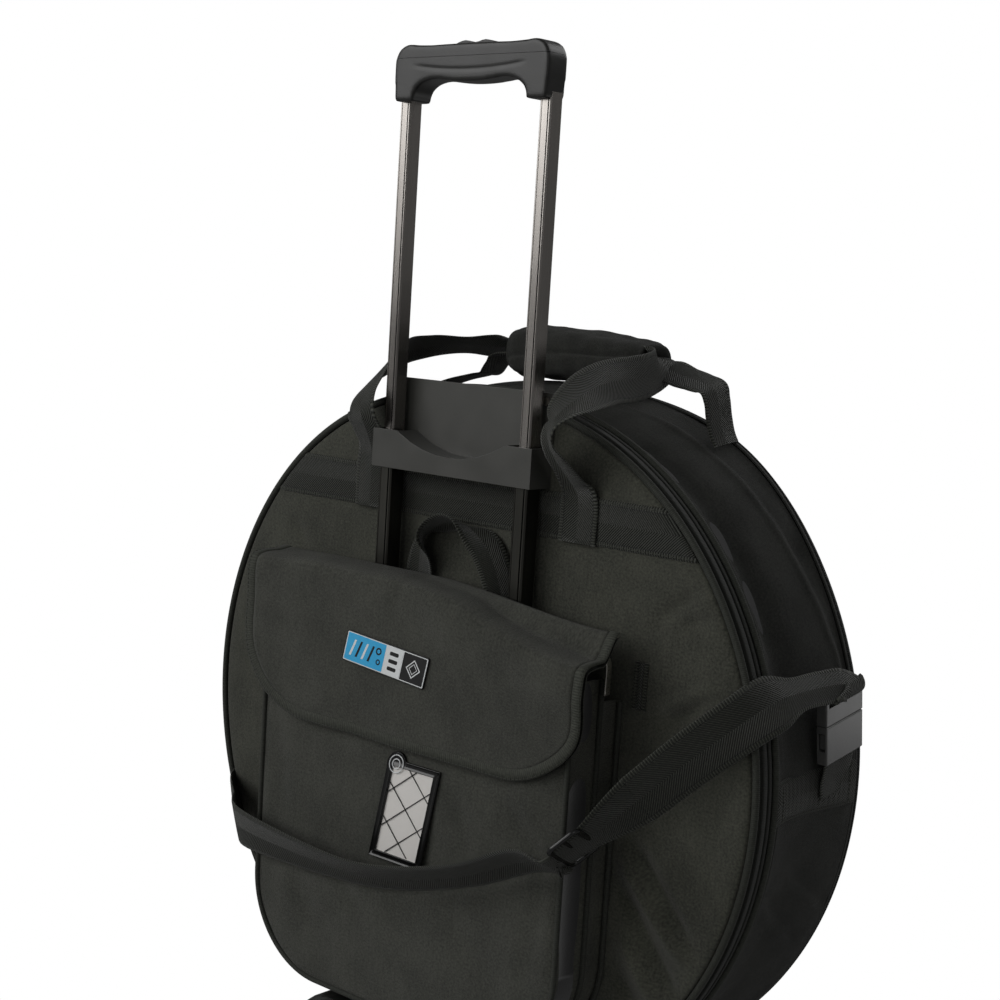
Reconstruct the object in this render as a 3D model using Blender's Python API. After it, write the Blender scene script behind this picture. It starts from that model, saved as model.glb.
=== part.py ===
"""Round trolley case for cymbals: a padded fabric disc on a wheeled base, with a telescopic
handle, a front pocket, carry handles and a shoulder strap. Metres, +Z up, -Y is the pocket side."""

import math

import bmesh
import bpy
from mathutils import Matrix, Vector

# Driving dimensions of the round case
CASE_RADIUS = 0.325
FACE_Y = -0.0224
CASE_X = 0.0016
CASE_CLEARANCE = 0.0200
CENTRE_Z = CASE_RADIUS + CASE_CLEARANCE
TOP_SAG = 0.0120
BOTTOM_FLAT = 0.0120
SAG_REACH = 0.1700
SHOULDER_LIFT = 0.0110
SHOULDER_PLACE = 0.2100
SHOULDER_REACH = 0.1000
PANEL_INSET = 0.0095
PANEL_RADIUS = CASE_RADIUS - PANEL_INSET
PANEL_THICK = 0.0060
PIPING_RADIUS = 0.0035
FRONT_BAND_DEPTH = 0.0144
FRONT_BAND_INSET = 0.0035
FRONT_BAND_RADIUS = CASE_RADIUS - FRONT_BAND_INSET
BOARD_THICK = 0.0040
MAIN_BAND_DEPTH = 0.1120
WAIST_DEPTH = 0.0085
WALL_THICK = 0.0065
LINING_RADIUS = CASE_RADIUS - WAIST_DEPTH - WALL_THICK
REAR_GROWTH = 0.0030
ZIP_WIDTH = 0.0080
ZIP_PROUD = 0.0015
DIVIDER_THICK = 0.0040
SEAM_GAP = 0.0003
LOOSE_GAP = 0.0012

# Driving dimensions of the telescopic handle
TUBE_SPACING = 0.1610
OUTER_TUBE_WIDTH = 0.0150
OUTER_TUBE_DEPTH = 0.0180
TUBE_WALL = 0.0010
SLIDE_CLEARANCE = 0.0003
TUBE_BACK_GAP = 0.0065
HANDLE_TRAVEL = 0.2880
TUBE_ENGAGEMENT = 0.0900
GROOVE_WIDTH = 0.0012
GROOVE_DEPTH = 0.0004
GROOVE_INSET = 0.0022
TUBE_CORNER = 0.0012

# Cup that the grip nests in, with its tall rear wall
CUP_HALF_WIDTH = 0.0940
CUP_HEIGHT = 0.0345
CUP_BASE_DROP = 0.0910
CUP_WALL = 0.0035
CUP_FLOOR = 0.0055
CUP_FRONT_GAP = 0.0020
PLATE_HEIGHT = 0.0810
PLATE_THICK = 0.0030
FINGER_CUT_HALF = 0.0640
FINGER_CUT_DEPTH = 0.0180
BUSH_HEIGHT = 0.0060
BUSH_RIM = 0.0020
SCREW_HEAD_RADIUS = 0.0036
SCREW_SHANK_RADIUS = 0.0018
SCREW_HEAD_HEIGHT = 0.0018

# Moulded grip and its release button
GRIP_HALF_WIDTH = 0.0880
GRIP_DEPTH = 0.0260
GRIP_FORWARD = 0.0035
GRIP_BACK_EDGE = 0.0014
GRIP_LEG_DROP = 0.0480
GRIP_BAR_HEIGHT = 0.0290
GRIP_SHOULDER = 0.0170
GRIP_ARCH_RADIUS = 0.0130
GRIP_BELLY = 0.0030
GRIP_EDGE = 0.0040
GRIP_SEAM_DROP = 0.0110
SOCKET_DEPTH = 0.0250
CAVITY_HALF_DEPTH = 0.0065
CAVITY_DROP = 0.0220
BUTTON_HALF_WIDTH = 0.0230
BUTTON_HALF_DEPTH = 0.0060
BUTTON_PROUD = 0.0030
BUTTON_WAVE = 0.0020
BUTTON_TRAVEL = 0.0040
BUTTON_CLEARANCE = 0.0004
YOKE_THICK = 0.0030
ROD_WIDTH = 0.0050
ROD_DEPTH = 0.0030
SPRING_RADIUS = 0.0040
SPRING_BORE = 0.0030
SPRING_WELL = 0.0060
PLUG_HEIGHT = 0.0240
PIN_RADIUS = 0.0025
PIN_LENGTH = 0.0042

# Wheeled base
WHEEL_RADIUS = 0.0300
WHEEL_WIDTH = 0.0220
WHEEL_TRACK = 0.1050
TYRE_DEPTH = 0.0080
AXLE_RADIUS = 0.0035
AXLE_HEAD_RADIUS = 0.0060
AXLE_HEAD_LENGTH = 0.0030
AXLE_RUNNING_GAP = 0.0003
HOUSING_HALF_WIDTH = 0.1260
HOUSING_DEPTH = 0.0580
HOUSING_HEIGHT = 0.0670
HOUSING_SHOULDER = 0.0450
HOUSING_CLEARANCE = 0.0200
HOUSING_WALL = 0.0040
HOUSING_EDGE = 0.0050
HOUSING_STANDOFF = 0.0040
WHEEL_WELL_GAP = 0.0035
WHEEL_BACK_GAP = 0.0020
WHEEL_SIDE_GAP = 0.0020
TRAY_HALF_WIDTH = 0.1200
TRAY_DEPTH = 0.1400
TRAY_BASE_HEIGHT = 0.0140
FOOT_SIZE = 0.0300
FOOT_INSET = 0.0100
FOOT_EDGE = 0.0030
FOOT_RISE = 0.0220

# Front pocket with its flap
POCKET_HALF_WIDTH = 0.1820
POCKET_DEPTH = 0.0420
POCKET_WALL = 0.0025
POCKET_TOP_RISE = 0.1240
POCKET_BOTTOM_INSET = 0.0800
POCKET_CORNER = 0.0850
POCKET_TUBE_GAP = 0.0015
WING_TOP_RISE = 0.1000
WING_TUBE_GAP = 0.0015
FLAP_HALF_WIDTH = 0.1970
FLAP_THICK = 0.0030
FLAP_RIDGE = 0.0200
FLAP_LOW_RISE = 0.0080
FLAP_CORNER = 0.0600
FLAP_GAP = 0.0015
SLIDER_LENGTH = 0.0120
SLIDER_WIDTH = 0.0080
SLIDER_HEIGHT = 0.0050
UPPER_SLIDER_SHIFT = 0.0240
PULLER_LENGTH = 0.0260
PULLER_WIDTH = 0.0070
PULLER_THICK = 0.0015
POCKET_ZIP_TRAVEL = 0.3400
LABEL_WIDTH = 0.1000
LABEL_HEIGHT = 0.0280
LABEL_THICK = 0.0015
LABEL_RISE = 0.0735
LABEL_SHIFT = 0.0200
WINDOW_WIDTH = 0.0620
WINDOW_HEIGHT = 0.0930
WINDOW_BORDER = 0.0065
WINDOW_TAB = 0.0110
WINDOW_THICK = 0.0020
WINDOW_DROP = 0.0600
WINDOW_SHIFT = 0.0090
WINDOW_LEAN = 0.20
CARD_INSET = 0.0005
CARD_THICK = 0.0008

# Webbing: front band, carry handles, grab loop, side tab and shoulder strap
WEBBING_WIDTH = 0.0400
WEBBING_THICK = 0.0018
WEBBING_DROP = 0.1130
WEBBING_RISE = CASE_RADIUS - WEBBING_DROP
# the front handle's way over the rim: webbing widths behind the face, share of the rise
# Places of the front handle beyond its sewn foot: out in shares of the half spacing, back in
# shares of the webbing's width and up in shares of the rise, each with the width's direction.
FRONT_HANDLE_SHARES = (
    (1.000, -0.100, -1.150, (1.0, 0.0, 0.0)),
    (0.988, -0.380, -0.800, (1.0, 0.0, 0.0)),
    (0.977, -0.780, -0.420, (1.0, 0.0, 0.0)),
    (0.973, -1.000, -0.080, (1.0, 0.0, -0.05)),
    (0.965, -0.665, 0.219, (0.90, 0.0, -0.35)),
    (0.953, 0.060, 0.389, (0.65, 0.0, -0.75)),
    (0.953, 0.860, 0.495, (0.52, 0.0, -0.85)),
    (0.949, 1.610, 0.640, (0.70, 0.0, -0.70)),
    (0.937, 2.150, 0.890, (0.90, 0.15, -0.30)),
    (0.935, 2.700, 1.010, (0.90, 0.40, 0.0)),
    (0.895, 3.160, 1.010, (0.60, 0.80, 0.0)),
    (0.835, 3.400, 1.000, (0.15, 0.99, 0.0)),
)
HANDLE_HALF_SPACING = 0.1280
HANDLE_LEFT_DRAW = 0.92
# the rear handle's foot, in its own widths outwards and down, then its way up:
# share of the root's distance, share of the rise, share of the way to the wrap
REAR_WIDTH_SHARE = 0.9
REAR_FOOT_SHARES = (0.30, 0.17)
# Places of the rear handle, from each root to the wrap: out in shares of the root's distance, up in
# shares of the rise, and in shares of the way to the wrap. The left leg lies on the band.
REAR_HANDLE_SHARES = ((1.0, 0.016, 0.0), (1.0, 0.55, 0.0), (0.92, 0.92, 0.137), (0.75, 1.0, 0.5))
REAR_LEFT_SHARES = (
    (0.990, 0.090, 0.0),
    (0.908, 0.235, 0.10),
    (0.766, 0.430, 0.30),
    (0.630, 0.560, 0.60),
    (0.568, 0.620, 0.80),
    (0.530, 0.780, 0.90),
    (0.495, 0.940, 1.0),
)
REAR_HALF_SPACING = 0.1740
WRAP_HALF_LENGTH = 0.0780
WRAP_SHIFT = 0.0160
WRAP_HALF_DEPTH = 0.0300
WRAP_HALF_HEIGHT = 0.0240
WRAP_INSET = 0.0043
WRAP_LIFT = 0.0175
WRAP_RISE = CASE_RADIUS + WRAP_LIFT
WRAP_SLOT_HALF_HEIGHT = 0.0045
WRAP_SLOT_CLEARANCE = 0.0010
# the grab loop: share of its half span, share of the rise, share of the way out to the middle
# between panel and tubes, and the direction of its width
LOOP_SHARES = (
    (-1.00, 0.00, 0.00, (1, 0, 0)),
    (-1.00, 0.35, 0.31, (1, -0.1, 0.2)),
    (-0.70, 0.80, 1.00, (0.3, -0.8, 0.4)),
    (0.00, 1.00, 1.00, (0, -1, 0.1)),
    (0.75, 0.80, 1.00, (0, -1, 0)),
    (1.15, 0.35, 1.00, (0, -1, 0)),
    (1.20, 0.00, 1.00, (0, -1, 0)),
)
LOOP_HALF_SPAN = 0.0480
LOOP_TOP_DROP = 0.0410
LOOP_ROOT_DROP = 0.0090
LOOP_WIDTH = 0.0340
SIDE_TAB_WIDTH = 0.0140
SIDE_TAB_HEIGHT = 0.0400
SIDE_TAB_SHIFT = 0.2030
SIDE_TAB_RISE = 0.0830
STRAP_WIDTH = 0.0460
STRAP_THICK = 0.0020
ANCHOR_HEIGHT = 0.0360
ANCHOR_RISE = 0.0060
ANCHOR_THICK = 0.0020
BUCKLE_WIDTH = 0.0570
BUCKLE_LENGTH = 0.0600
BUCKLE_THICK = 0.0100
BUCKLE_INSET = 0.0343
BUCKLE_LIFT = 0.0065
BUCKLE_HANG = 0.0120
BUCKLE_BAR = 0.0050
BUCKLE_WALL = 0.0020
BUCKLE_SPLIT_SHARE = 0.55
BUCKLE_TURN_RIGHT = 9
BUCKLE_TURN_LEFT = 160
PRONG_WIDTH = 0.0060
ADJUSTER_WIDTH = 0.0600
ADJUSTER_LENGTH = 0.0280
ADJUSTER_THICK = 0.0080
ADJUSTER_TRAVEL = 0.0450
ADJUSTER_BAR = 0.0050

# Places along the strap, in shares of the case's radius from the middle of its front face.
# Each has the direction of the strap's width, from its upper edge to its lower one.
LEFT_STRAP_SHARES = (
    ((-1.015, 0.175, -0.300), (0.0, 0.80, -0.60)),
    ((-0.965, 0.105, -0.360), (0.0, 0.30, -0.95)),
    ((-0.938, 0.040, -0.388), (0.2, 0.0, -0.98)),
    ((-0.900, -0.022, -0.390), (0.45, 0.0, -0.89)),
    ((-0.754, -0.125, -0.383), (0.1, 0.1, -0.99)),
    ((-0.566, -0.245, -0.370), (0.0, 0.35, -0.94)),
)
# Places across the pocket, in shares of its half width and of the radius, with the strap's lean.
FRONT_STRAP_SHARES = (
    (-0.300, -0.420, 42),
    (0.100, -0.385, 50),
    (0.550, -0.305, 55),
    (0.900, -0.215, 55),
)
ADJUSTER_REACH = 0.0315
ADJUSTER_HEIGHT_SHARE = -0.105
ADJUSTER_FACING = (0.35, -0.35, -0.87)
RIM_SHARES = (0.954, -0.022, 0.246)
RIGHT_STRAP_SHARES = (
    ((0.954, -0.022, 0.246), (0.60, 0.35, -0.71)),
    ((0.995, 0.055, 0.300), (0.62, 0.15, -0.76)),
    ((1.012, 0.130, 0.322), (0.62, 0.0, -0.76)),
    ((1.022, 0.215, 0.334), (0.59, -0.15, -0.67)),
    ((1.036, 0.290, 0.328), (0.12, -0.83, -0.52)),
)
STRAP_BUNCH_SHARE = 0.65

RING_STEPS = 48
SIDE_STEPS = 24
BORE_STEPS = 12
CUT_OVERRUN = 0.0100

MATERIALS = {
    "cloth": ((0.020, 0.020, 0.021), 0.85, 0.0),
    "webbing": ((0.016, 0.017, 0.016), 0.80, 0.0),
    "moulded plastic": ((0.025, 0.025, 0.026), 0.42, 0.0),
    "anodised tube": ((0.045, 0.045, 0.047), 0.35, 0.7),
    "satin plastic": ((0.10, 0.10, 0.105), 0.40, 0.0),
    "steel": ((0.55, 0.55, 0.56), 0.30, 1.0),
    "rubber": ((0.030, 0.030, 0.030), 0.70, 0.0),
    "lining": ((0.030, 0.030, 0.032), 0.90, 0.0),
    "board": ((0.070, 0.068, 0.066), 0.80, 0.0),
    "label": ((0.25, 0.55, 0.80), 0.50, 0.0),
    "card": ((0.62, 0.62, 0.64), 0.60, 0.0),
}


def clear_scene():
    for obj in list(bpy.data.objects):
        bpy.data.objects.remove(obj, do_unlink=True)


def finish_material(finish):
    """The Principled material of a finish, made once."""
    found = bpy.data.materials.get(finish)
    if found:
        return found
    colour, roughness, metallic = MATERIALS[finish]
    made = bpy.data.materials.new(finish)
    made.use_nodes = True
    shader = made.node_tree.nodes["Principled BSDF"]
    shader.inputs["Base Color"].default_value = (*colour, 1.0)
    shader.inputs["Roughness"].default_value = roughness
    shader.inputs["Metallic"].default_value = metallic
    return made


def add_object(name, mesh, finish, pivot=(0, 0, 0)):
    """Links a mesh made round the case's own middle, with its origin moved to the pivot."""
    bmesh.ops.recalc_face_normals(mesh, faces=mesh.faces)
    bmesh.ops.translate(mesh, vec=-Vector(pivot), verts=mesh.verts)
    data = bpy.data.meshes.new(name)
    mesh.to_mesh(data)
    mesh.free()
    data.shade_smooth()
    data.set_sharp_from_angle(angle=math.radians(35))
    obj = bpy.data.objects.new(name, data)
    obj.location = Vector(pivot) + Vector((CASE_X, 0, 0))
    obj.data.materials.append(finish_material(finish))
    bpy.context.scene.collection.objects.link(obj)
    return obj


def add_cutter(name, mesh):
    obj = add_object(name, mesh, "board")
    obj.hide_render = True
    obj.display_type = "WIRE"
    return obj


def combine(obj, other, operation):
    modifier = obj.modifiers.new(other.name, "BOOLEAN")
    modifier.operation = operation
    modifier.object = other
    modifier.solver = "EXACT"


def cut(obj, mesh, label):
    combine(obj, add_cutter(f"{obj.name}_{label}", mesh), "DIFFERENCE")


def join(obj, mesh, label):
    combine(obj, add_cutter(f"{obj.name}_{label}", mesh), "UNION")


def box_mesh(low, high, edge=0.0):
    mesh = bmesh.new()
    bmesh.ops.create_cube(mesh, size=1.0)
    size = [b - a for a, b in zip(low, high)]
    middle = [(a + b) / 2 for a, b in zip(low, high)]
    bmesh.ops.scale(mesh, vec=size, verts=mesh.verts)
    bmesh.ops.translate(mesh, vec=middle, verts=mesh.verts)
    if edge:
        bmesh.ops.bevel(mesh, geom=mesh.edges[:], offset=edge, segments=2, profile=0.5, affect="EDGES")
    return mesh


def loft_mesh(sections):
    """A closed solid through sections of equally many points each."""
    mesh = bmesh.new()
    rows = [[mesh.verts.new(point) for point in section] for section in sections]
    count = len(sections[0])
    for row, following in zip(rows, rows[1:]):
        for i in range(count):
            j = (i + 1) % count
            mesh.faces.new((row[i], row[j], following[j], following[i]))
    mesh.faces.new(rows[0])
    mesh.faces.new(rows[-1])
    return mesh


def prism_y(outline, front, back):
    """Extrudes an (x, z) outline along Y."""
    return loft_mesh([[(x, y, z) for x, z in outline] for y in (front, back)])


def prism_z(outline, low, high):
    """Extrudes an (x, y) outline along Z."""
    return loft_mesh([[(x, y, z) for x, y in outline] for z in (low, high)])


def arc(centre_a, centre_b, radius, start, stop, steps):
    """Points of an arc in a plane, angles in degrees, both ends in."""
    angles = [math.radians(start + (stop - start) * i / steps) for i in range(steps + 1)]
    return [(centre_a + radius * math.cos(t), centre_b + radius * math.sin(t)) for t in angles]


def cylinder_mesh(start, end, radius, steps):
    """A round bar between two points."""
    start, end = Vector(start), Vector(end)
    mesh = bmesh.new()
    bmesh.ops.create_cone(
        mesh, cap_ends=True, segments=steps, radius1=radius, radius2=radius, depth=(end - start).length
    )
    turn = Vector((0, 0, 1)).rotation_difference(end - start).to_matrix().to_4x4()
    bmesh.ops.transform(mesh, matrix=Matrix.Translation((start + end) / 2) @ turn, verts=mesh.verts)
    return mesh


def turned_x(profile, centre, steps):
    """Turns a closed (x, r) profile round an axis along X."""
    sections = []
    for i in range(steps):
        angle = 2 * math.pi * i / steps
        sections.append(
            [
                (centre[0] + x, centre[1] + r * math.cos(angle), centre[2] + r * math.sin(angle))
                for x, r in profile
            ]
        )
    return closed_sweep(sections)


def closed_sweep(sections):
    """Joins sections into a ring, the last to the first."""
    mesh = bmesh.new()
    rows = [[mesh.verts.new(point) for point in section] for section in sections]
    count = len(sections[0])
    for index, row in enumerate(rows):
        following = rows[(index + 1) % len(rows)]
        for i in range(count):
            j = (i + 1) % count
            mesh.faces.new((row[i], row[j], following[j], following[i]))
    return mesh


def case_point(radius, angle, y):
    """A point of the outline: sunk on top, flat below, and pulled up at the shoulders to the rear."""
    x = radius * math.cos(angle)
    z = radius * math.sin(angle)
    reach = math.exp(-((x / SAG_REACH) ** 2))
    z -= (TOP_SAG if z > 0 else -BOTTOM_FLAT) * reach * min(1.0, abs(z) / SAG_REACH)
    if z > 0:
        rear = min(1.0, max(0.0, y - MAIN_BAND_Y) / MAIN_BAND_DEPTH)
        z += SHOULDER_LIFT * rear * math.exp(-(((abs(x) - SHOULDER_PLACE) / SHOULDER_REACH) ** 2))
    return (x, y, CENTRE_Z + z)


def case_ring(profile):
    """Sweeps a closed (radius, y) profile round the case's outline."""
    angles = [2 * math.pi * i / RING_STEPS for i in range(RING_STEPS)]
    return closed_sweep([[case_point(r, angle, y) for r, y in profile] for angle in angles])


def case_disc(radius, front, back):
    angles = [2 * math.pi * i / RING_STEPS for i in range(RING_STEPS)]
    return loft_mesh([[case_point(radius, angle, y) for angle in angles] for y in (front, back)])


def smooth_path(points, steps):
    """A Catmull-Rom curve through the points, with so many steps between two of them."""
    points = [Vector(p) for p in points]
    padded = [points[0] * 2 - points[1], *points, points[-1] * 2 - points[-2]]
    path = []
    for a, b, c, d in zip(padded, padded[1:], padded[2:], padded[3:]):
        for i in range(steps):
            t = i / steps
            path.append(
                b
                + (c - a) * t / 2
                + (2 * a - 5 * b + 4 * c - d) * t**2 / 2
                + (3 * b - a - 3 * c + d) * t**3 / 2
            )
    path.append(points[-1])
    return path


def ribbon_mesh(points, sides, widths, thickness, steps=1):
    """A flat strap: its middle line, the direction of its width at each point, and its widths."""
    middle = smooth_path(points, steps)
    across = smooth_path(sides, steps)
    breadths = smooth_path([(w, 0, 0) for w in widths], steps)
    sections = []
    for i, point in enumerate(middle):
        along = (middle[min(i + 1, len(middle) - 1)] - middle[max(i - 1, 0)]).normalized()
        side = (across[i] - along * across[i].dot(along)).normalized() * (breadths[i].x / 2)
        up = along.cross(side).normalized() * (thickness / 2)
        sections.append([point + side + up, point - side + up, point - side - up, point + side - up])
    return loft_mesh(sections)


# Stations along Y, from the pocket side to the rear
PANEL_BACK_Y = FACE_Y + PANEL_THICK
FRONT_PIPING_Y = FACE_Y + PIPING_RADIUS
FRONT_BAND_Y = FACE_Y + 2 * PIPING_RADIUS + SEAM_GAP
FRONT_BAND_BACK_Y = FRONT_BAND_Y + FRONT_BAND_DEPTH
MIDDLE_PIPING_Y = FRONT_BAND_BACK_Y + SEAM_GAP + PIPING_RADIUS
MAIN_BAND_Y = MIDDLE_PIPING_Y + PIPING_RADIUS + SEAM_GAP
MAIN_BAND_BACK_Y = MAIN_BAND_Y + MAIN_BAND_DEPTH
REAR_ZIP_Y = MAIN_BAND_BACK_Y + SEAM_GAP
REAR_ZIP_BACK_Y = REAR_ZIP_Y + ZIP_WIDTH
LID_Y = REAR_ZIP_BACK_Y + SEAM_GAP
LID_BACK_Y = LID_Y + PANEL_THICK
BOARD_BACK_Y = FRONT_BAND_BACK_Y - SEAM_GAP
BOARD_Y = BOARD_BACK_Y - BOARD_THICK
HINGE_Z = CENTRE_Z - CASE_RADIUS - REAR_GROWTH + BOTTOM_FLAT - SEAM_GAP

# Stations of the tubes
OUTER_BACK_Y = FACE_Y - TUBE_BACK_GAP
OUTER_FRONT_Y = OUTER_BACK_Y - OUTER_TUBE_DEPTH
TUBE_Y = (OUTER_BACK_Y + OUTER_FRONT_Y) / 2
BORE_WIDTH = OUTER_TUBE_WIDTH - 2 * TUBE_WALL
BORE_DEPTH = OUTER_TUBE_DEPTH - 2 * TUBE_WALL
INNER_WIDTH = BORE_WIDTH - 2 * SLIDE_CLEARANCE
INNER_DEPTH = BORE_DEPTH - 2 * SLIDE_CLEARANCE
GRIP_Y = TUBE_Y - GRIP_FORWARD
CUP_BASE_Z = CENTRE_Z + CASE_RADIUS - CUP_BASE_DROP
CUP_TOP_Z = CUP_BASE_Z + CUP_HEIGHT
GRIP_LEG_Z = CUP_BASE_Z + CUP_FLOOR + BUSH_HEIGHT + SEAM_GAP + LOOSE_GAP + HANDLE_TRAVEL
GRIP_LEG_Z += CUP_HEIGHT - CUP_FLOOR - BUSH_HEIGHT
GRIP_TOP_Z = GRIP_LEG_Z + GRIP_LEG_DROP
GRIP_BAR_Z = GRIP_TOP_Z - GRIP_BAR_HEIGHT
SEAM_Z = GRIP_TOP_Z - GRIP_SEAM_DROP
CAVITY_Z = GRIP_TOP_Z - CAVITY_DROP
YOKE_Z = CAVITY_Z + BUTTON_TRAVEL + BUTTON_CLEARANCE
INNER_TOP_Z = GRIP_LEG_Z + SOCKET_DEPTH - SEAM_GAP
INNER_BASE_Z = CUP_BASE_Z - TUBE_ENGAGEMENT
HOUSING_TOP_Z = HOUSING_CLEARANCE + HOUSING_HEIGHT
TUBE_BASE_Z = HOUSING_TOP_Z - HOUSING_SHOULDER

# Stations of the pocket
POCKET_BACK_Y = OUTER_FRONT_Y - POCKET_TUBE_GAP
POCKET_FRONT_Y = POCKET_BACK_Y - POCKET_DEPTH
POCKET_TOP_Z = CENTRE_Z + POCKET_TOP_RISE
POCKET_BOTTOM_Z = CENTRE_Z - CASE_RADIUS + POCKET_BOTTOM_INSET
FLAP_Y = POCKET_FRONT_Y - FLAP_GAP - FLAP_THICK / 2
FLAP_FRONT_Y = FLAP_Y - FLAP_THICK / 2
FLAP_LOW_Z = CENTRE_Z + FLAP_LOW_RISE
STRAP_FRONT_Y = POCKET_FRONT_Y - WINDOW_THICK - SEAM_GAP - LOOSE_GAP - STRAP_THICK
FLAP_PIVOT_Z = POCKET_TOP_Z + FLAP_RIDGE


def piping_profile(radius, y):
    return arc(radius, y, PIPING_RADIUS, 0, 360 - 360 / 6, 5)


def build_case_shell():
    """The padded walls that stay with the trolley."""
    add_object("front_panel", case_disc(PANEL_RADIUS, FACE_Y, PANEL_BACK_Y), "cloth")
    add_object(
        "front_padding", case_disc(LINING_RADIUS - SEAM_GAP, FRONT_BAND_Y, BOARD_Y - SEAM_GAP), "lining"
    )
    add_object("frame_board", case_disc(LINING_RADIUS - SEAM_GAP, BOARD_Y, BOARD_BACK_Y), "board")
    front_radius = PANEL_RADIUS + SEAM_GAP + PIPING_RADIUS
    add_object("front_piping", case_ring(piping_profile(front_radius, FRONT_PIPING_Y)), "webbing")
    band = [
        (LINING_RADIUS, FRONT_BAND_Y),
        (FRONT_BAND_RADIUS, FRONT_BAND_Y),
        (FRONT_BAND_RADIUS, FRONT_BAND_BACK_Y),
        (LINING_RADIUS, FRONT_BAND_BACK_Y),
    ]
    add_object("front_band", case_ring(band), "cloth")
    middle_radius = CASE_RADIUS - PIPING_RADIUS / 2
    add_object("middle_piping", case_ring(piping_profile(middle_radius, MIDDLE_PIPING_Y)), "webbing")
    add_object("main_band", case_ring(main_band_profile()), "cloth")


def main_band_profile():
    """The main wall sinks to a waist behind the front seam and swells again to the rear zip."""
    sink_shares = ((0.00, 0.0), (0.14, 0.8), (0.40, 1.0), (0.72, 0.35), (1.00, 0.0))
    outer = []
    for share, sink in sink_shares:
        radius = CASE_RADIUS + REAR_GROWTH * share - WAIST_DEPTH * sink
        outer.append((radius, MAIN_BAND_Y + MAIN_BAND_DEPTH * share))
    return [(LINING_RADIUS, MAIN_BAND_Y), *outer, (LINING_RADIUS, MAIN_BAND_BACK_Y)]


def build_zips():
    front_low = FRONT_BAND_RADIUS + SEAM_GAP
    front_y = (FRONT_BAND_Y + FRONT_BAND_BACK_Y - ZIP_WIDTH) / 2
    tape = [
        (front_low, front_y),
        (front_low + ZIP_PROUD, front_y),
        (front_low + ZIP_PROUD, front_y + ZIP_WIDTH),
        (front_low, front_y + ZIP_WIDTH),
    ]
    add_object("front_zip", case_ring(tape), "webbing")
    top = CASE_RADIUS + REAR_GROWTH - ZIP_PROUD
    tape = [
        (LINING_RADIUS, REAR_ZIP_Y),
        (top, REAR_ZIP_Y),
        (top, REAR_ZIP_BACK_Y),
        (LINING_RADIUS, REAR_ZIP_BACK_Y),
    ]
    add_object("rear_zip", case_ring(tape), "webbing")
    add_zip_slider("front_zip_slider", front_low + ZIP_PROUD, front_y + ZIP_WIDTH / 2, 1, 0)
    for name, turn, shift in (("upper", -1, UPPER_SLIDER_SHIFT), ("lower", 1, 0)):
        add_zip_slider(f"rear_zip_slider_{name}", top, (REAR_ZIP_Y + REAR_ZIP_BACK_Y) / 2, turn, shift)


def add_zip_slider(name, ring_radius, y, turn, shift):
    """A slider on the left side of a zip ring, with its puller lying along the ring. Its pivot is
    shifted where the ring swells out ahead of it."""
    base = ring_radius + SEAM_GAP
    step = SLIDER_LENGTH * 0.6
    z = CENTRE_Z - turn * step
    x = -base
    low = (x - SLIDER_HEIGHT, y - SLIDER_WIDTH / 2, z - SLIDER_LENGTH / 2)
    high = (x - SEAM_GAP, y + SLIDER_WIDTH / 2, z + SLIDER_LENGTH / 2)
    pivot = (shift, y, CENTRE_Z)
    slider = add_object(name, box_mesh(low, high, SLIDER_HEIGHT / 5), "moulded plastic", pivot)
    near = z - turn * SLIDER_LENGTH / 4
    far = near - turn * PULLER_LENGTH
    low = (x - SLIDER_HEIGHT - PULLER_THICK / 2, y - PULLER_WIDTH / 2, min(near, far))
    high = (x - SLIDER_HEIGHT + PULLER_THICK / 2, y + PULLER_WIDTH / 2, max(near, far))
    join(slider, box_mesh(low, high), "puller")


def build_lid():
    """The rear panel with its piping, which folds down about its bottom edge."""
    pivot = (0, LID_Y - SEAM_GAP / 2, HINGE_Z)
    lid_radius = PANEL_RADIUS + REAR_GROWTH
    add_object("back_panel", case_disc(lid_radius, LID_Y, LID_BACK_Y), "cloth", pivot)
    radius = lid_radius + SEAM_GAP + PIPING_RADIUS
    add_object("rear_piping", case_ring(piping_profile(radius, LID_Y + PIPING_RADIUS)), "webbing", pivot)


def build_divider():
    """A padded divider sewn across the middle of the case."""
    y = (LID_Y + BOARD_BACK_Y) / 2
    add_object("padded_divider", case_disc(LINING_RADIUS - LOOSE_GAP, y, y + DIVIDER_THICK), "lining")


def tube_outline(width, depth):
    """Section of a tube: chamfered corners and a fine groove near both edges of its front face."""
    side = width / 2
    front = TUBE_Y - depth / 2
    back = TUBE_Y + depth / 2
    c = TUBE_CORNER
    near = side - GROOVE_INSET
    far = near - GROOVE_WIDTH
    sunk = front + GROOVE_DEPTH
    left = [(-side, back - c), (-side, front + c), (c - side, front)]
    grooves = [(-near, front), (-near, sunk), (-far, sunk), (-far, front)]
    mirrored = [(-x, y) for x, y in reversed(left + grooves)]
    return [(c - side, back), *left, *grooves, *mirrored, (side - c, back)]


def add_tube(name, middle, width, depth, low, high, pivot=(0, 0, 0)):
    outline = [(middle + x, y) for x, y in tube_outline(width, depth)]
    tube = add_object(name, prism_z(outline, low, high), "anodised tube", pivot)
    half_width = width / 2 - TUBE_WALL
    half_depth = depth / 2 - TUBE_WALL
    low_corner = (middle - half_width, TUBE_Y - half_depth, low - CUT_OVERRUN)
    high_corner = (middle + half_width, TUBE_Y + half_depth, high + CUT_OVERRUN)
    cut(tube, box_mesh(low_corner, high_corner), "bore")
    return tube


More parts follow.
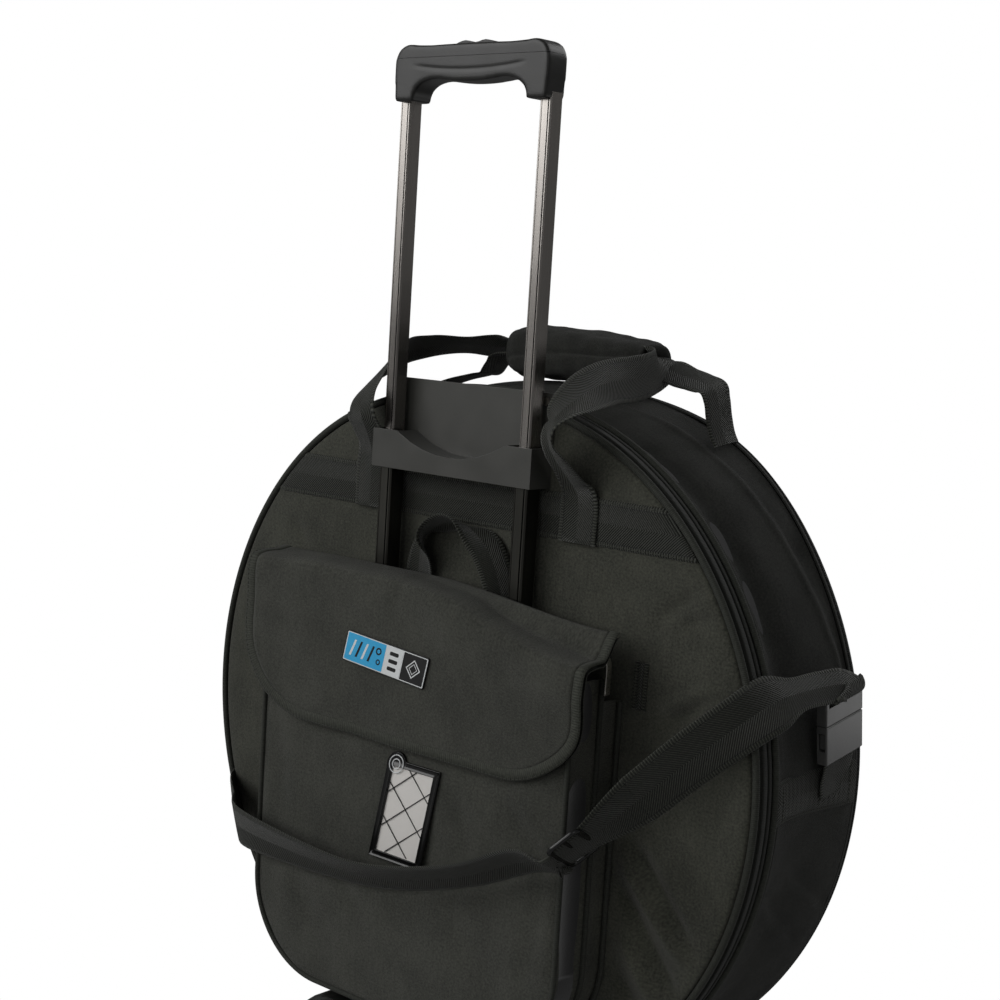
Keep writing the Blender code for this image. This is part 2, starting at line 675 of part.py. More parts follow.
def build_tubes():
    pivot = (0, TUBE_Y, INNER_BASE_Z)
    for side, name in ((-1, "left"), (1, "right")):
        middle = side * TUBE_SPACING / 2
        top = CUP_BASE_Z + CUP_FLOOR - SEAM_GAP
        add_tube(f"outer_tube_{name}", middle, OUTER_TUBE_WIDTH, OUTER_TUBE_DEPTH, TUBE_BASE_Z, top)
        inner = add_tube(
            f"inner_tube_{name}", middle, INNER_WIDTH, INNER_DEPTH, INNER_BASE_Z, INNER_TOP_Z, pivot
        )
        pin_z = INNER_BASE_Z + PLUG_HEIGHT / 2
        outer_face = middle + side * INNER_WIDTH / 2
        ends = [
            (outer_face - side * PIN_LENGTH, TUBE_Y, pin_z),
            (outer_face + side * CUT_OVERRUN, TUBE_Y, pin_z),
        ]
        cut(inner, cylinder_mesh(*ends, PIN_RADIUS + SEAM_GAP, BORE_STEPS), "pin_hole")
        build_lock(name, side, middle, pin_z, outer_face, pivot)


def build_lock(name, side, middle, pin_z, outer_face, pivot):
    """The nylon plug at an inner tube's foot and the lock pin that it guides."""
    fit = TUBE_WALL + SEAM_GAP
    low = (middle - INNER_WIDTH / 2 + fit, TUBE_Y - INNER_DEPTH / 2 + fit, INNER_BASE_Z + SEAM_GAP)
    high = (middle + INNER_WIDTH / 2 - fit, TUBE_Y + INNER_DEPTH / 2 - fit, INNER_BASE_Z + PLUG_HEIGHT)
    plug = add_object(f"tube_plug_{name}", box_mesh(low, high), "satin plastic", pivot)
    inside = outer_face - side * (PIN_LENGTH + BUTTON_TRAVEL)
    ends = [(inside, TUBE_Y, pin_z), (outer_face + side * CUT_OVERRUN, TUBE_Y, pin_z)]
    cut(plug, cylinder_mesh(*ends, PIN_RADIUS + SEAM_GAP, BORE_STEPS), "pin_hole")
    ends = [(outer_face - side * PIN_LENGTH, TUBE_Y, pin_z), (outer_face, TUBE_Y, pin_z)]
    pin = cylinder_mesh(*ends, PIN_RADIUS, BORE_STEPS)
    add_object(f"lock_pin_{name}", pin, "steel", (outer_face, TUBE_Y, pin_z))


def build_cup():
    """The cup between the tube tops: low front wall with a finger cut, floor, and tall rear wall."""
    front = TUBE_Y - INNER_DEPTH / 2 - CUP_FRONT_GAP - CUP_WALL
    back = FACE_Y - SEAM_GAP
    low = (-CUP_HALF_WIDTH, front, CUP_BASE_Z)
    cup = add_object("handle_cup", box_mesh(low, (CUP_HALF_WIDTH, back, CUP_TOP_Z)), "satin plastic")
    plate_low = (-CUP_HALF_WIDTH, back - PLATE_THICK, CUP_BASE_Z)
    plate_top = CUP_BASE_Z + PLATE_HEIGHT
    join(cup, box_mesh(plate_low, (CUP_HALF_WIDTH, back, plate_top)), "plate")
    hollow_low = (CUP_WALL - CUP_HALF_WIDTH, front + CUP_WALL, CUP_BASE_Z + CUP_FLOOR)
    hollow_high = (CUP_HALF_WIDTH - CUP_WALL, back - PLATE_THICK, plate_top + CUT_OVERRUN)
    cut(cup, box_mesh(hollow_low, hollow_high), "hollow")
    sag = (FINGER_CUT_HALF**2 + FINGER_CUT_DEPTH**2) / (2 * FINGER_CUT_DEPTH)
    centre = CUP_TOP_Z - FINGER_CUT_DEPTH + sag
    ends = [(0, front - CUT_OVERRUN, centre), (0, front + CUP_WALL + SEAM_GAP, centre)]
    cut(cup, cylinder_mesh(*ends, sag, RING_STEPS), "finger_cut")
    for side, name in ((-1, "left"), (1, "right")):
        middle = side * TUBE_SPACING / 2
        half_width = OUTER_TUBE_WIDTH / 2 + SEAM_GAP
        half_depth = OUTER_TUBE_DEPTH / 2 + SEAM_GAP
        low = (middle - half_width, TUBE_Y - half_depth, CUP_BASE_Z - CUT_OVERRUN)
        high = (middle + half_width, TUBE_Y + half_depth, CUP_BASE_Z + CUP_FLOOR + CUT_OVERRUN)
        cut(cup, box_mesh(low, high), f"socket_{name}")
        add_bush(name, middle)
        x = side * (CUP_HALF_WIDTH - 2 * SCREW_HEAD_RADIUS)
        z = plate_top - 2 * SCREW_HEAD_RADIUS
        add_cup_screw(cup, name, x, back, z)


def add_bush(name, middle):
    """The guide bush that the inner tube slides through, on top of the outer tube."""
    base = CUP_BASE_Z + CUP_FLOOR + SEAM_GAP
    half_width = INNER_WIDTH / 2 + SLIDE_CLEARANCE
    half_depth = INNER_DEPTH / 2 + SLIDE_CLEARANCE
    rim = CUP_FRONT_GAP - SLIDE_CLEARANCE - SEAM_GAP
    low = (middle - half_width - BUSH_RIM, TUBE_Y - half_depth - rim, base)
    high = (middle + half_width + BUSH_RIM, TUBE_Y + half_depth + rim, base + BUSH_HEIGHT)
    bush = add_object(f"guide_bush_{name}", box_mesh(low, high), "moulded plastic")
    low = (middle - half_width, TUBE_Y - half_depth, base - CUT_OVERRUN)
    high = (middle + half_width, TUBE_Y + half_depth, base + BUSH_HEIGHT + CUT_OVERRUN)
    cut(bush, box_mesh(low, high), "bore")


def add_cup_screw(cup, name, x, back, z):
    """A pan-head screw through the rear wall."""
    face = back - PLATE_THICK
    hole = cylinder_mesh(
        (x, face - CUT_OVERRUN, z), (x, back + CUT_OVERRUN, z), SCREW_SHANK_RADIUS + SEAM_GAP, BORE_STEPS
    )
    cut(cup, hole, f"screw_hole_{name}")
    head = cylinder_mesh(
        (x, face - SEAM_GAP - SCREW_HEAD_HEIGHT, z),
        (x, face - SEAM_GAP, z),
        SCREW_HEAD_RADIUS,
        BORE_STEPS,
    )
    screw = add_object(f"cup_screw_{name}", head, "steel")
    join(
        screw,
        cylinder_mesh(
            (x, face - SCREW_HEAD_HEIGHT, z), (x, back - SEAM_GAP, z), SCREW_SHANK_RADIUS, BORE_STEPS
        ),
        "shank",
    )


def grip_outline():
    """The grip seen from the front: a bar with two legs and a finger belly under the bar."""
    w, r = GRIP_HALF_WIDTH, GRIP_SHOULDER
    leg = TUBE_SPACING / 2 - INNER_WIDTH / 2 - 2 * GRIP_EDGE - BUTTON_CLEARANCE
    a = GRIP_ARCH_RADIUS
    top = arc(w - r, GRIP_TOP_Z - r, r, 0, 90, 4) + arc(r - w, GRIP_TOP_Z - r, r, 90, 180, 4)
    left = [(-w, GRIP_LEG_Z), (-leg, GRIP_LEG_Z)] + arc(a - leg, GRIP_BAR_Z - a, a, 180, 90, 4)
    belly = [(0, GRIP_BAR_Z - GRIP_BELLY)]
    right = arc(leg - a, GRIP_BAR_Z - a, a, 90, 0, 4) + [(leg, GRIP_LEG_Z), (w, GRIP_LEG_Z)]
    return top + left + belly + right


def grip_shell(low, high):
    """The part of the grip between two heights, with its long edges rounded."""
    front = GRIP_Y - GRIP_DEPTH / 2
    back = GRIP_Y + GRIP_DEPTH / 2
    mesh = prism_y(grip_outline(), front, back)
    for face, size in ((front, GRIP_EDGE), (back, GRIP_BACK_EDGE)):
        rims = [edge for edge in mesh.edges if all(abs(v.co.y - face) < SEAM_GAP for v in edge.verts)]
        bmesh.ops.bevel(
            mesh, geom=rims, offset=size, segments=2, profile=0.5, affect="EDGES", clamp_overlap=True
        )
    for height, normal in ((low, (0, 0, -1)), (high, (0, 0, 1))):
        geometry = mesh.verts[:] + mesh.edges[:] + mesh.faces[:]
        bmesh.ops.bisect_plane(
            mesh, geom=geometry, plane_co=(0, 0, height), plane_no=normal, clear_outer=True
        )
        rim = [edge for edge in mesh.edges if edge.is_boundary]
        if rim:
            bmesh.ops.contextual_create(mesh, geom=rim)
    return mesh


def build_grip():
    pivot = (0, TUBE_Y, GRIP_LEG_Z)
    body = add_object("grip_body", grip_shell(GRIP_LEG_Z - CUT_OVERRUN, SEAM_Z), "moulded plastic", pivot)
    cover = add_object(
        "grip_cover", grip_shell(SEAM_Z + SEAM_GAP, GRIP_TOP_Z + CUT_OVERRUN), "moulded plastic", pivot
    )
    reach = TUBE_SPACING / 2 + ROD_WIDTH
    low = (-reach, GRIP_Y - CAVITY_HALF_DEPTH, CAVITY_Z)
    high = (reach, TUBE_Y + CAVITY_HALF_DEPTH, SEAM_Z + CUT_OVERRUN)
    cut(body, box_mesh(low, high), "cavity")
    for side, name in ((-1, "left"), (1, "right")):
        middle = side * TUBE_SPACING / 2
        half_width = INNER_WIDTH / 2 + SLIDE_CLEARANCE
        half_depth = INNER_DEPTH / 2 + SLIDE_CLEARANCE
        low = (middle - half_width, TUBE_Y - half_depth, GRIP_LEG_Z - CUT_OVERRUN)
        high = (middle + half_width, TUBE_Y + half_depth, GRIP_LEG_Z + SOCKET_DEPTH)
        cut(body, box_mesh(low, high), f"socket_{name}")
        half_width = ROD_WIDTH / 2 + LOOSE_GAP
        half_depth = ROD_DEPTH / 2 + LOOSE_GAP
        low = (middle - half_width, TUBE_Y - half_depth, GRIP_LEG_Z)
        high = (middle + half_width, TUBE_Y + half_depth, SEAM_Z)
        cut(body, box_mesh(low, high), f"rod_hole_{name}")
    well = (0, TUBE_Y, CAVITY_Z - SPRING_WELL), (0, TUBE_Y, CAVITY_Z + CUT_OVERRUN)
    cut(body, cylinder_mesh(*well, SPRING_RADIUS + SLIDE_CLEARANCE, BORE_STEPS), "spring_well")
    reach = BUTTON_HALF_WIDTH + BUTTON_CLEARANCE
    half_depth = BUTTON_HALF_DEPTH + BUTTON_CLEARANCE
    low = (-reach, GRIP_Y - half_depth, SEAM_Z - CUT_OVERRUN)
    high = (reach, GRIP_Y + half_depth, GRIP_TOP_Z + CUT_OVERRUN)
    cut(cover, box_mesh(low, high), "button_hole")
    build_button()


def build_button():
    """The push button with a waved top, its spring, and the yoke that it pushes down the tubes."""
    pivot = (0, TUBE_Y, GRIP_TOP_Z)
    yoke_top = YOKE_Z + YOKE_THICK
    crest = GRIP_TOP_Z + BUTTON_PROUD
    wave = []
    for i in range(13):
        share = 1 - 2 * i / 12
        wave.append(
            (
                BUTTON_HALF_WIDTH * share,
                crest - BUTTON_WAVE * math.cos(math.pi * share) ** 2 * (abs(share) < 0.9),
            )
        )
    wave = [(x, z if abs(x) < BUTTON_HALF_WIDTH else GRIP_TOP_Z) for x, z in wave]
    outline = [(-BUTTON_HALF_WIDTH, yoke_top + SEAM_GAP), (BUTTON_HALF_WIDTH, yoke_top + SEAM_GAP), *wave]
    button = prism_y(outline, GRIP_Y - BUTTON_HALF_DEPTH, GRIP_Y + BUTTON_HALF_DEPTH)
    add_object("release_button", button, "moulded plastic", pivot)
    spring = [
        cylinder_mesh(
            (0, TUBE_Y, CAVITY_Z - SPRING_WELL + SEAM_GAP),
            (0, TUBE_Y, YOKE_Z - SEAM_GAP),
            SPRING_RADIUS,
            BORE_STEPS,
        ),
        cylinder_mesh(
            (0, TUBE_Y, CAVITY_Z - SPRING_WELL - CUT_OVERRUN),
            (0, TUBE_Y, YOKE_Z + CUT_OVERRUN),
            SPRING_BORE,
            BORE_STEPS,
        ),
    ]
    cut(add_object("button_spring", spring[0], "steel", pivot), spring[1], "bore")
    reach = TUBE_SPACING / 2 + ROD_WIDTH / 2
    bar_half = ROD_DEPTH / 2 + LOOSE_GAP
    bar = (-reach, TUBE_Y - bar_half, YOKE_Z), (reach, TUBE_Y + bar_half, yoke_top)
    yoke = add_object("release_yoke", box_mesh(*bar), "steel", pivot)
    foot = INNER_BASE_Z + PLUG_HEIGHT + BUTTON_TRAVEL + LOOSE_GAP
    for side, name in ((-1, "left"), (1, "right")):
        middle = side * TUBE_SPACING / 2
        low = (middle - ROD_WIDTH / 2, TUBE_Y - ROD_DEPTH / 2, foot)
        high = (middle + ROD_WIDTH / 2, TUBE_Y + ROD_DEPTH / 2, YOKE_Z + YOKE_THICK / 2)
        join(yoke, box_mesh(low, high), f"rod_{name}")


def housing_outline(inset, base):
    """The wheel housing seen from the front: rounded shoulders over the wheels."""
    w = HOUSING_HALF_WIDTH - inset
    r = HOUSING_SHOULDER - inset
    top = HOUSING_TOP_Z - inset
    return [(-w, base), (w, base), *arc(w - r, top - r, r, 0, 90, 6), *arc(r - w, top - r, r, 90, 180, 6)]


def build_housing():
    """The moulded housing in front of the case: it holds the tubes' feet and both wheels."""
    back = FACE_Y - HOUSING_STANDOFF
    front = back - HOUSING_DEPTH
    mesh = prism_y(housing_outline(0, HOUSING_CLEARANCE), front, back)
    rims = [edge for edge in mesh.edges if all(abs(v.co.y - front) < SEAM_GAP for v in edge.verts)]
    bmesh.ops.bevel(mesh, geom=rims, offset=HOUSING_EDGE, segments=2, profile=0.5, affect="EDGES")
    housing = add_object("wheel_housing", mesh, "moulded plastic")
    inner = WHEEL_TRACK - WHEEL_WIDTH / 2 - WHEEL_SIDE_GAP - HOUSING_WALL
    tube_front = OUTER_FRONT_Y - SEAM_GAP - HOUSING_WALL
    hollow_low = (-inner, front + HOUSING_WALL, HOUSING_CLEARANCE - CUT_OVERRUN)
    cut(housing, box_mesh(hollow_low, (inner, tube_front, HOUSING_TOP_Z - HOUSING_WALL)), "hollow")
    for side, name in ((-1, "left"), (1, "right")):
        middle = side * TUBE_SPACING / 2
        half_width = OUTER_TUBE_WIDTH / 2 + SEAM_GAP
        half_depth = OUTER_TUBE_DEPTH / 2 + SEAM_GAP
        low = (middle - half_width, TUBE_Y - half_depth, TUBE_BASE_Z - SEAM_GAP)
        high = (middle + half_width, TUBE_Y + half_depth, HOUSING_TOP_Z + CUT_OVERRUN)
        cut(housing, box_mesh(low, high), f"socket_{name}")
        build_wheel(housing, name, side, back - WHEEL_BACK_GAP - WHEEL_RADIUS)
    build_axle(back - WHEEL_BACK_GAP - WHEEL_RADIUS)


def build_wheel(housing, name, side, y):
    """A wheel in its well: hub, tyre and axle."""
    z = WHEEL_RADIUS
    middle = side * WHEEL_TRACK
    reach = WHEEL_WIDTH / 2 + WHEEL_SIDE_GAP
    well_radius = WHEEL_RADIUS + WHEEL_WELL_GAP
    ends = [(middle - reach, y, z), (middle + reach, y, z)]
    cut(housing, cylinder_mesh(*ends, well_radius, SIDE_STEPS * 2), f"well_{name}")
    inner_end = middle - side * (reach + HOUSING_WALL + CUT_OVERRUN)
    outer_end = side * (HOUSING_HALF_WIDTH + CUT_OVERRUN)
    bore = cylinder_mesh((inner_end, y, z), (outer_end, y, z), AXLE_RADIUS + AXLE_RUNNING_GAP, BORE_STEPS)
    cut(housing, bore, f"axle_hole_{name}")
    pivot = (middle, y, z)
    half = WHEEL_WIDTH / 2
    tyre_low = WHEEL_RADIUS - TYRE_DEPTH
    bore_radius = AXLE_RADIUS + AXLE_RUNNING_GAP
    hub = [
        (-half, bore_radius),
        (half, bore_radius),
        (half, tyre_low - SEAM_GAP),
        (-half, tyre_low - SEAM_GAP),
    ]
    add_object(f"wheel_hub_{name}", turned_x(hub, pivot, SIDE_STEPS), "satin plastic", pivot)
    crown = TYRE_DEPTH / 4
    tyre = [
        (-half, tyre_low),
        (half, tyre_low),
        (half, WHEEL_RADIUS - crown),
        (half - crown, WHEEL_RADIUS),
        (crown - half, WHEEL_RADIUS),
        (-half, WHEEL_RADIUS - crown),
    ]
    add_object(f"wheel_tyre_{name}", turned_x(tyre, pivot, SIDE_STEPS), "rubber", pivot)


def build_axle(y):
    """The steel axle that runs through the housing and both wheels, with a head at each end."""
    z = WHEEL_RADIUS
    end = HOUSING_HALF_WIDTH + SEAM_GAP
    tip = end + AXLE_HEAD_LENGTH / 2
    axle = add_object(
        "wheel_axle", cylinder_mesh((-tip, y, z), (tip, y, z), AXLE_RADIUS, BORE_STEPS), "steel"
    )
    for side, name in ((-1, "left"), (1, "right")):
        near = side * end
        far = side * (end + AXLE_HEAD_LENGTH)
        join(axle, cylinder_mesh((near, y, z), (far, y, z), AXLE_HEAD_RADIUS, BORE_STEPS), f"head_{name}")


def tray_outline(lift, base, inset):
    """Section of the tray: its top follows the underside of the case."""
    radius = CASE_RADIUS + REAR_GROWTH + SEAM_GAP + lift
    reach = math.asin((TRAY_HALF_WIDTH - inset) / radius)
    top = []
    for i in range(13):
        angle = -math.pi / 2 + reach * (1 - 2 * i / 12)
        x, _, z = case_point(radius, angle, 0)
        top.append((x, z))
    return [(top[-1][0], base), (top[0][0], base), *top]


def build_tray():
    """The curved tray under the case, open below, with its two moulded feet."""
    front = FACE_Y - HOUSING_STANDOFF + SEAM_GAP
    back = front + TRAY_DEPTH
    tray = add_object(
        "base_tray", prism_y(tray_outline(0, TRAY_BASE_HEIGHT, 0), front, back), "moulded plastic"
    )
    shell = tray_outline(HOUSING_WALL, TRAY_BASE_HEIGHT - CUT_OVERRUN, HOUSING_WALL)
    cut(tray, prism_y(shell, front + HOUSING_WALL, back - HOUSING_WALL), "hollow")
    for side, name in ((-1, "left"), (1, "right")):
        x = side * (TRAY_HALF_WIDTH - FOOT_INSET - FOOT_SIZE / 2)
        y = back - FOOT_INSET - FOOT_SIZE / 2
        low = (x - FOOT_SIZE / 2, y - FOOT_SIZE / 2, 0)
        high = (x + FOOT_SIZE / 2, y + FOOT_SIZE / 2, TRAY_BASE_HEIGHT + FOOT_RISE)
        join(tray, box_mesh(low, high, FOOT_EDGE), f"foot_{name}")


def pocket_outline(inset, top):
    """The pocket seen from the front: square above, with wide round corners below."""
    w = POCKET_HALF_WIDTH - inset
    r = POCKET_CORNER - inset
    base = POCKET_BOTTOM_Z + inset
    return [(w, top), (-w, top), *arc(r - w, base + r, r, 180, 270, 8), *arc(w - r, base + r, r, 270, 360, 8)]


def wing_outline():
    """One side wall behind the pocket, from its top round the lower corner to beside the tube."""
    w, r = POCKET_HALF_WIDTH, POCKET_CORNER
    base = POCKET_BOTTOM_Z + r
    near = TUBE_SPACING / 2 + OUTER_TUBE_WIDTH / 2 + 2 * WING_TUBE_GAP
    stop = 360 - math.degrees(math.acos((near - w + r) / r))
    inner = r - POCKET_WALL
    top = CENTRE_Z + WING_TOP_RISE
    outer_side = [(w, top), *arc(w - r, base, r, 360, stop, 6)]
    inner_side = [(w - POCKET_WALL, top), *arc(w - r, base, inner, 360, stop, 6)]
    return outer_side + list(reversed(inner_side))


def build_pocket():
    front = POCKET_FRONT_Y
    pocket = add_object(
        "pocket_body", prism_y(pocket_outline(0, POCKET_TOP_Z), front, POCKET_BACK_Y), "cloth"
    )
    inner = pocket_outline(POCKET_WALL, POCKET_TOP_Z + CUT_OVERRUN)
    cut(pocket, prism_y(inner, front + POCKET_WALL, POCKET_BACK_Y - POCKET_WALL), "hollow")
    for side, name in ((-1, "left"), (1, "right")):
        outline = [(side * x, z) for x, z in wing_outline()]
        wing = prism_y(outline, POCKET_BACK_Y - POCKET_WALL / 2, FACE_Y - SEAM_GAP)
        join(pocket, wing, f"wing_{name}")
    low = (-POCKET_HALF_WIDTH, POCKET_BACK_Y - POCKET_WALL, POCKET_TOP_Z - POCKET_WALL)
    high = (POCKET_HALF_WIDTH, POCKET_BACK_Y, FLAP_PIVOT_Z - FLAP_THICK / 2 - SEAM_GAP)
    join(pocket, box_mesh(low, high), "back_edge")
    build_flap()
    x = POCKET_HALF_WIDTH - SLIDER_LENGTH / 2
    y = POCKET_BACK_Y - POCKET_WALL - SEAM_GAP - SLIDER_WIDTH / 2
    low = (x - SLIDER_LENGTH / 2, y - SLIDER_WIDTH / 2, POCKET_TOP_Z + SEAM_GAP)
    high = (x + SLIDER_LENGTH / 2, y + SLIDER_WIDTH / 2, POCKET_TOP_Z + SLIDER_HEIGHT)
    add_object("pocket_zip_slider", box_mesh(low, high, SLIDER_HEIGHT / 5), "steel", (x, y, POCKET_TOP_Z))


def build_flap():
    """The flap: over the pocket's top and down its front, with round lower corners."""
    back = POCKET_BACK_Y - FLAP_THICK / 2
    pivot_z = FLAP_PIVOT_Z
    drop = FLAP_RIDGE
    line = [(back, pivot_z), (FLAP_Y + drop, pivot_z), (FLAP_Y + drop / 3, pivot_z - drop / 10)]
    line += [
        (FLAP_Y + drop / 12, pivot_z - drop / 3),
        (FLAP_Y, pivot_z - drop),
        (FLAP_Y, FLAP_LOW_Z + FLAP_CORNER),
    ]
    widths = [2 * FLAP_HALF_WIDTH] * len(line)
    steps = 6
    for i in range(1, steps + 1):
        angle = math.pi / 2 * i / steps
        line.append((FLAP_Y, FLAP_LOW_Z + FLAP_CORNER * (1 - math.sin(angle))))
        widths.append(2 * (FLAP_HALF_WIDTH - FLAP_CORNER * (1 - math.cos(angle))))
    points = [(0, y, z) for y, z in line]
    sides = [(1, 0, 0)] * len(points)
    flap = ribbon_mesh(points, sides, widths, FLAP_THICK)
    pivot = (0, back, pivot_z)
    add_object("pocket_flap", flap, "cloth", pivot)
    low = (
        -LABEL_WIDTH / 2 - LABEL_SHIFT,
        FLAP_FRONT_Y - SEAM_GAP - LABEL_THICK,
        CENTRE_Z + LABEL_RISE - LABEL_HEIGHT / 2,
    )
    high = (LABEL_WIDTH / 2 - LABEL_SHIFT, FLAP_FRONT_Y - SEAM_GAP, CENTRE_Z + LABEL_RISE + LABEL_HEIGHT / 2)
    add_object("name_label", box_mesh(low, high), "label", pivot)


def window_place(x, z):
    """A place on the leaning card window, measured from its middle."""
    return (WINDOW_SHIFT + x + z * WINDOW_LEAN, CENTRE_Z - WINDOW_DROP + z)


def build_window():
    """The card window on the pocket: a rubbery frame with a round tab on top, and its card."""
    back = POCKET_FRONT_Y - SEAM_GAP
    front = back - WINDOW_THICK
    w, h, b, r = WINDOW_WIDTH / 2, WINDOW_HEIGHT / 2, WINDOW_BORDER, WINDOW_TAB
    tab = arc(r - w, h, r, 0, 180, 6)
    outline = [window_place(x, z) for x, z in [(-w, -h), (w, -h), (w, h), *tab]]
    frame = add_object("window_frame", prism_y(outline, front, back), "rubber")
    opening = [(b - w, b - h), (w - b, b - h), (w - b, h - b), (b - w, h - b)]
    cut(
        frame,
        prism_y([window_place(x, z) for x, z in opening], front - CUT_OVERRUN, back + CUT_OVERRUN),
        "opening",
    )
    inset = b + CARD_INSET
    card = [(inset - w, inset - h), (w - inset, inset - h), (w - inset, h - inset), (inset - w, h - inset)]
    add_object("name_card", prism_y([window_place(x, z) for x, z in card], back - CARD_THICK, back), "card")


def build_front_webbing():
    """The webbing band sewn across the front panel, and the small side tab."""
    low = WEBBING_RISE - WEBBING_WIDTH / 2
    high = WEBBING_RISE + WEBBING_WIDTH / 2
    ends = [math.sqrt((PANEL_RADIUS - PIPING_RADIUS) ** 2 - z * z) for z in (low, high)]
    outline = [
        (-ends[0], CENTRE_Z + low),
        (ends[0], CENTRE_Z + low),
        (ends[1], CENTRE_Z + high),
        (-ends[1], CENTRE_Z + high),
    ]
    back = FACE_Y - SEAM_GAP
    add_object("front_webbing", prism_y(outline, back - WEBBING_THICK, back), "webbing")
    low = (
        SIDE_TAB_SHIFT - SIDE_TAB_WIDTH / 2,
        back - WEBBING_THICK,
        CENTRE_Z + SIDE_TAB_RISE - SIDE_TAB_HEIGHT / 2,
    )
    high = (SIDE_TAB_SHIFT + SIDE_TAB_WIDTH / 2, back, CENTRE_Z + SIDE_TAB_RISE + SIDE_TAB_HEIGHT / 2)
    add_object("side_tab", box_mesh(low, high), "webbing")


def build_carry_handles():
    """Two webbing loops, one from the front panel and one from the rear of the band, in one wrap."""
    wrap_y = MAIN_BAND_BACK_Y - WRAP_INSET
    wrap_z = CENTRE_Z + WRAP_RISE
    slot = WRAP_SLOT_HALF_HEIGHT - WEBBING_THICK / 2 - SEAM_GAP
    build_front_handle(wrap_y, wrap_z + slot)
    build_rear_handle(wrap_y, wrap_z - slot)
    build_wrap(wrap_y, wrap_z)


def build_front_handle(wrap_y, high):
    """Up from the front panel in a bulge towards the viewer, back over the rim and into the wrap."""
    face = FACE_Y - 2 * SEAM_GAP - 1.5 * WEBBING_THICK
    foot = CENTRE_Z + WEBBING_RISE - WEBBING_WIDTH / 2
    x = HANDLE_HALF_SPACING
    rim = CENTRE_Z + math.sqrt(CASE_RADIUS**2 - x * x)
    rise = high - rim
    half = [(x, face, foot), (x, face, foot + WEBBING_WIDTH)]
    sides = [(1, 0, 0)] * 2
    for across_share, depth_share, rise_share, side in FRONT_HANDLE_SHARES:
        half.append((x * across_share, FACE_Y + WEBBING_WIDTH * depth_share, rim + rise * rise_share))
        sides.append(side)
    half += [(WRAP_HALF_LENGTH + WRAP_SHIFT, wrap_y, high), (WRAP_HALF_LENGTH / 2, wrap_y, high)]
    sides += [(0, 1, 0)] * 2
    points = half + [(-px * HANDLE_LEFT_DRAW, py, pz) for px, py, pz in reversed(half)]
    sides += [(-a, b, c) for a, b, c in reversed(sides)]
    handle = ribbon_mesh(points, sides, [WEBBING_WIDTH] * len(points), WEBBING_THICK, 2)
    add_object("front_handle", handle, "webbing")


def build_rear_handle(wrap_y, low):
    """Up from the rear end of the band on one side, through the wrap and down on the other."""
    x = REAR_HALF_SPACING
    width = WEBBING_WIDTH * REAR_WIDTH_SHARE
    root_y = MAIN_BAND_BACK_Y - width / 2 - LOOSE_GAP
    root = case_point(
        CASE_RADIUS + REAR_GROWTH + WEBBING_THICK / 2 + SEAM_GAP,
        math.acos(x / CASE_RADIUS),
        MAIN_BAND_BACK_Y,
    )
    rise = low - root[2]
    out_share, down_share = REAR_FOOT_SHARES
    halves = []
    for turn, shares in ((1, REAR_HANDLE_SHARES), (-1, REAR_LEFT_SHARES)):
        half = [(turn * (root[0] + width * out_share), root_y, root[2] - width * down_share)]
        for across_share, rise_share, wrap_share in shares:
            y = root_y + (wrap_y - root_y) * wrap_share
            half.append((turn * root[0] * across_share, y, root[2] + rise * rise_share))
        halves.append(half)
    right, left = halves
    right.append((WRAP_HALF_LENGTH + 2 * LOOSE_GAP + WRAP_SHIFT, wrap_y, low))
    left.append((WRAP_SHIFT - WRAP_HALF_LENGTH - 2 * LOOSE_GAP, wrap_y, low))
    points = right + [(WRAP_HALF_LENGTH / 3, wrap_y, low)] + list(reversed(left))
    handle = ribbon_mesh(points, [(0, 1, 0)] * len(points), [width] * len(points), WEBBING_THICK, 2)
    add_object("rear_handle", handle, "webbing")


def build_wrap(wrap_y, wrap_z):
    """The padded wrap that holds both handle loops together."""
    steps = 16
    outline = []
    for i in range(steps):
        angle = 2 * math.pi * (i + 0.5) / steps
        a, b = math.cos(angle), math.sin(angle)
        reach = (abs(a) ** 3 + abs(b) ** 3) ** (-1 / 3)
        outline.append((wrap_y + WRAP_HALF_DEPTH * a * reach, wrap_z + WRAP_HALF_HEIGHT * b * reach))
    near, far = WRAP_SHIFT - WRAP_HALF_LENGTH, WRAP_SHIFT + WRAP_HALF_LENGTH
    wrap = add_object(
        "handle_wrap", loft_mesh([[(x, y, z) for y, z in outline] for x in (near, far)]), "cloth"
    )
    half_slot = WEBBING_WIDTH / 2 + WRAP_SLOT_CLEARANCE
    low = (near - CUT_OVERRUN, wrap_y - half_slot, wrap_z - WRAP_SLOT_HALF_HEIGHT)
    high = (far + CUT_OVERRUN, wrap_y + half_slot, wrap_z + WRAP_SLOT_HALF_HEIGHT)
    cut(wrap, box_mesh(low, high), "slot")


def build_grab_loop():
    """The webbing loop behind the pocket, between the tubes: one leg flat, the other on edge."""
    near = FACE_Y - SEAM_GAP - WEBBING_THICK - LOOSE_GAP
    middle = (OUTER_FRONT_Y + near) / 2
    low = POCKET_TOP_Z - LOOP_ROOT_DROP
    rise = CUP_BASE_Z - LOOP_TOP_DROP - low
    x = LOOP_HALF_SPAN
    root_y = FACE_Y - SEAM_GAP - WEBBING_THICK / 2
    points = []
    sides = []
    for across_share, rise_share, out_share, side in LOOP_SHARES:
        y = root_y + (middle - root_y) * out_share
        points.append((x * across_share, y, low + rise * rise_share))
        sides.append(side)
    depth = near - OUTER_FRONT_Y - LOOSE_GAP
    widths = [LOOP_WIDTH, LOOP_WIDTH, depth, depth, depth, depth, depth]
    add_object("grab_loop", ribbon_mesh(points, sides, widths, WEBBING_THICK, 3), "webbing")


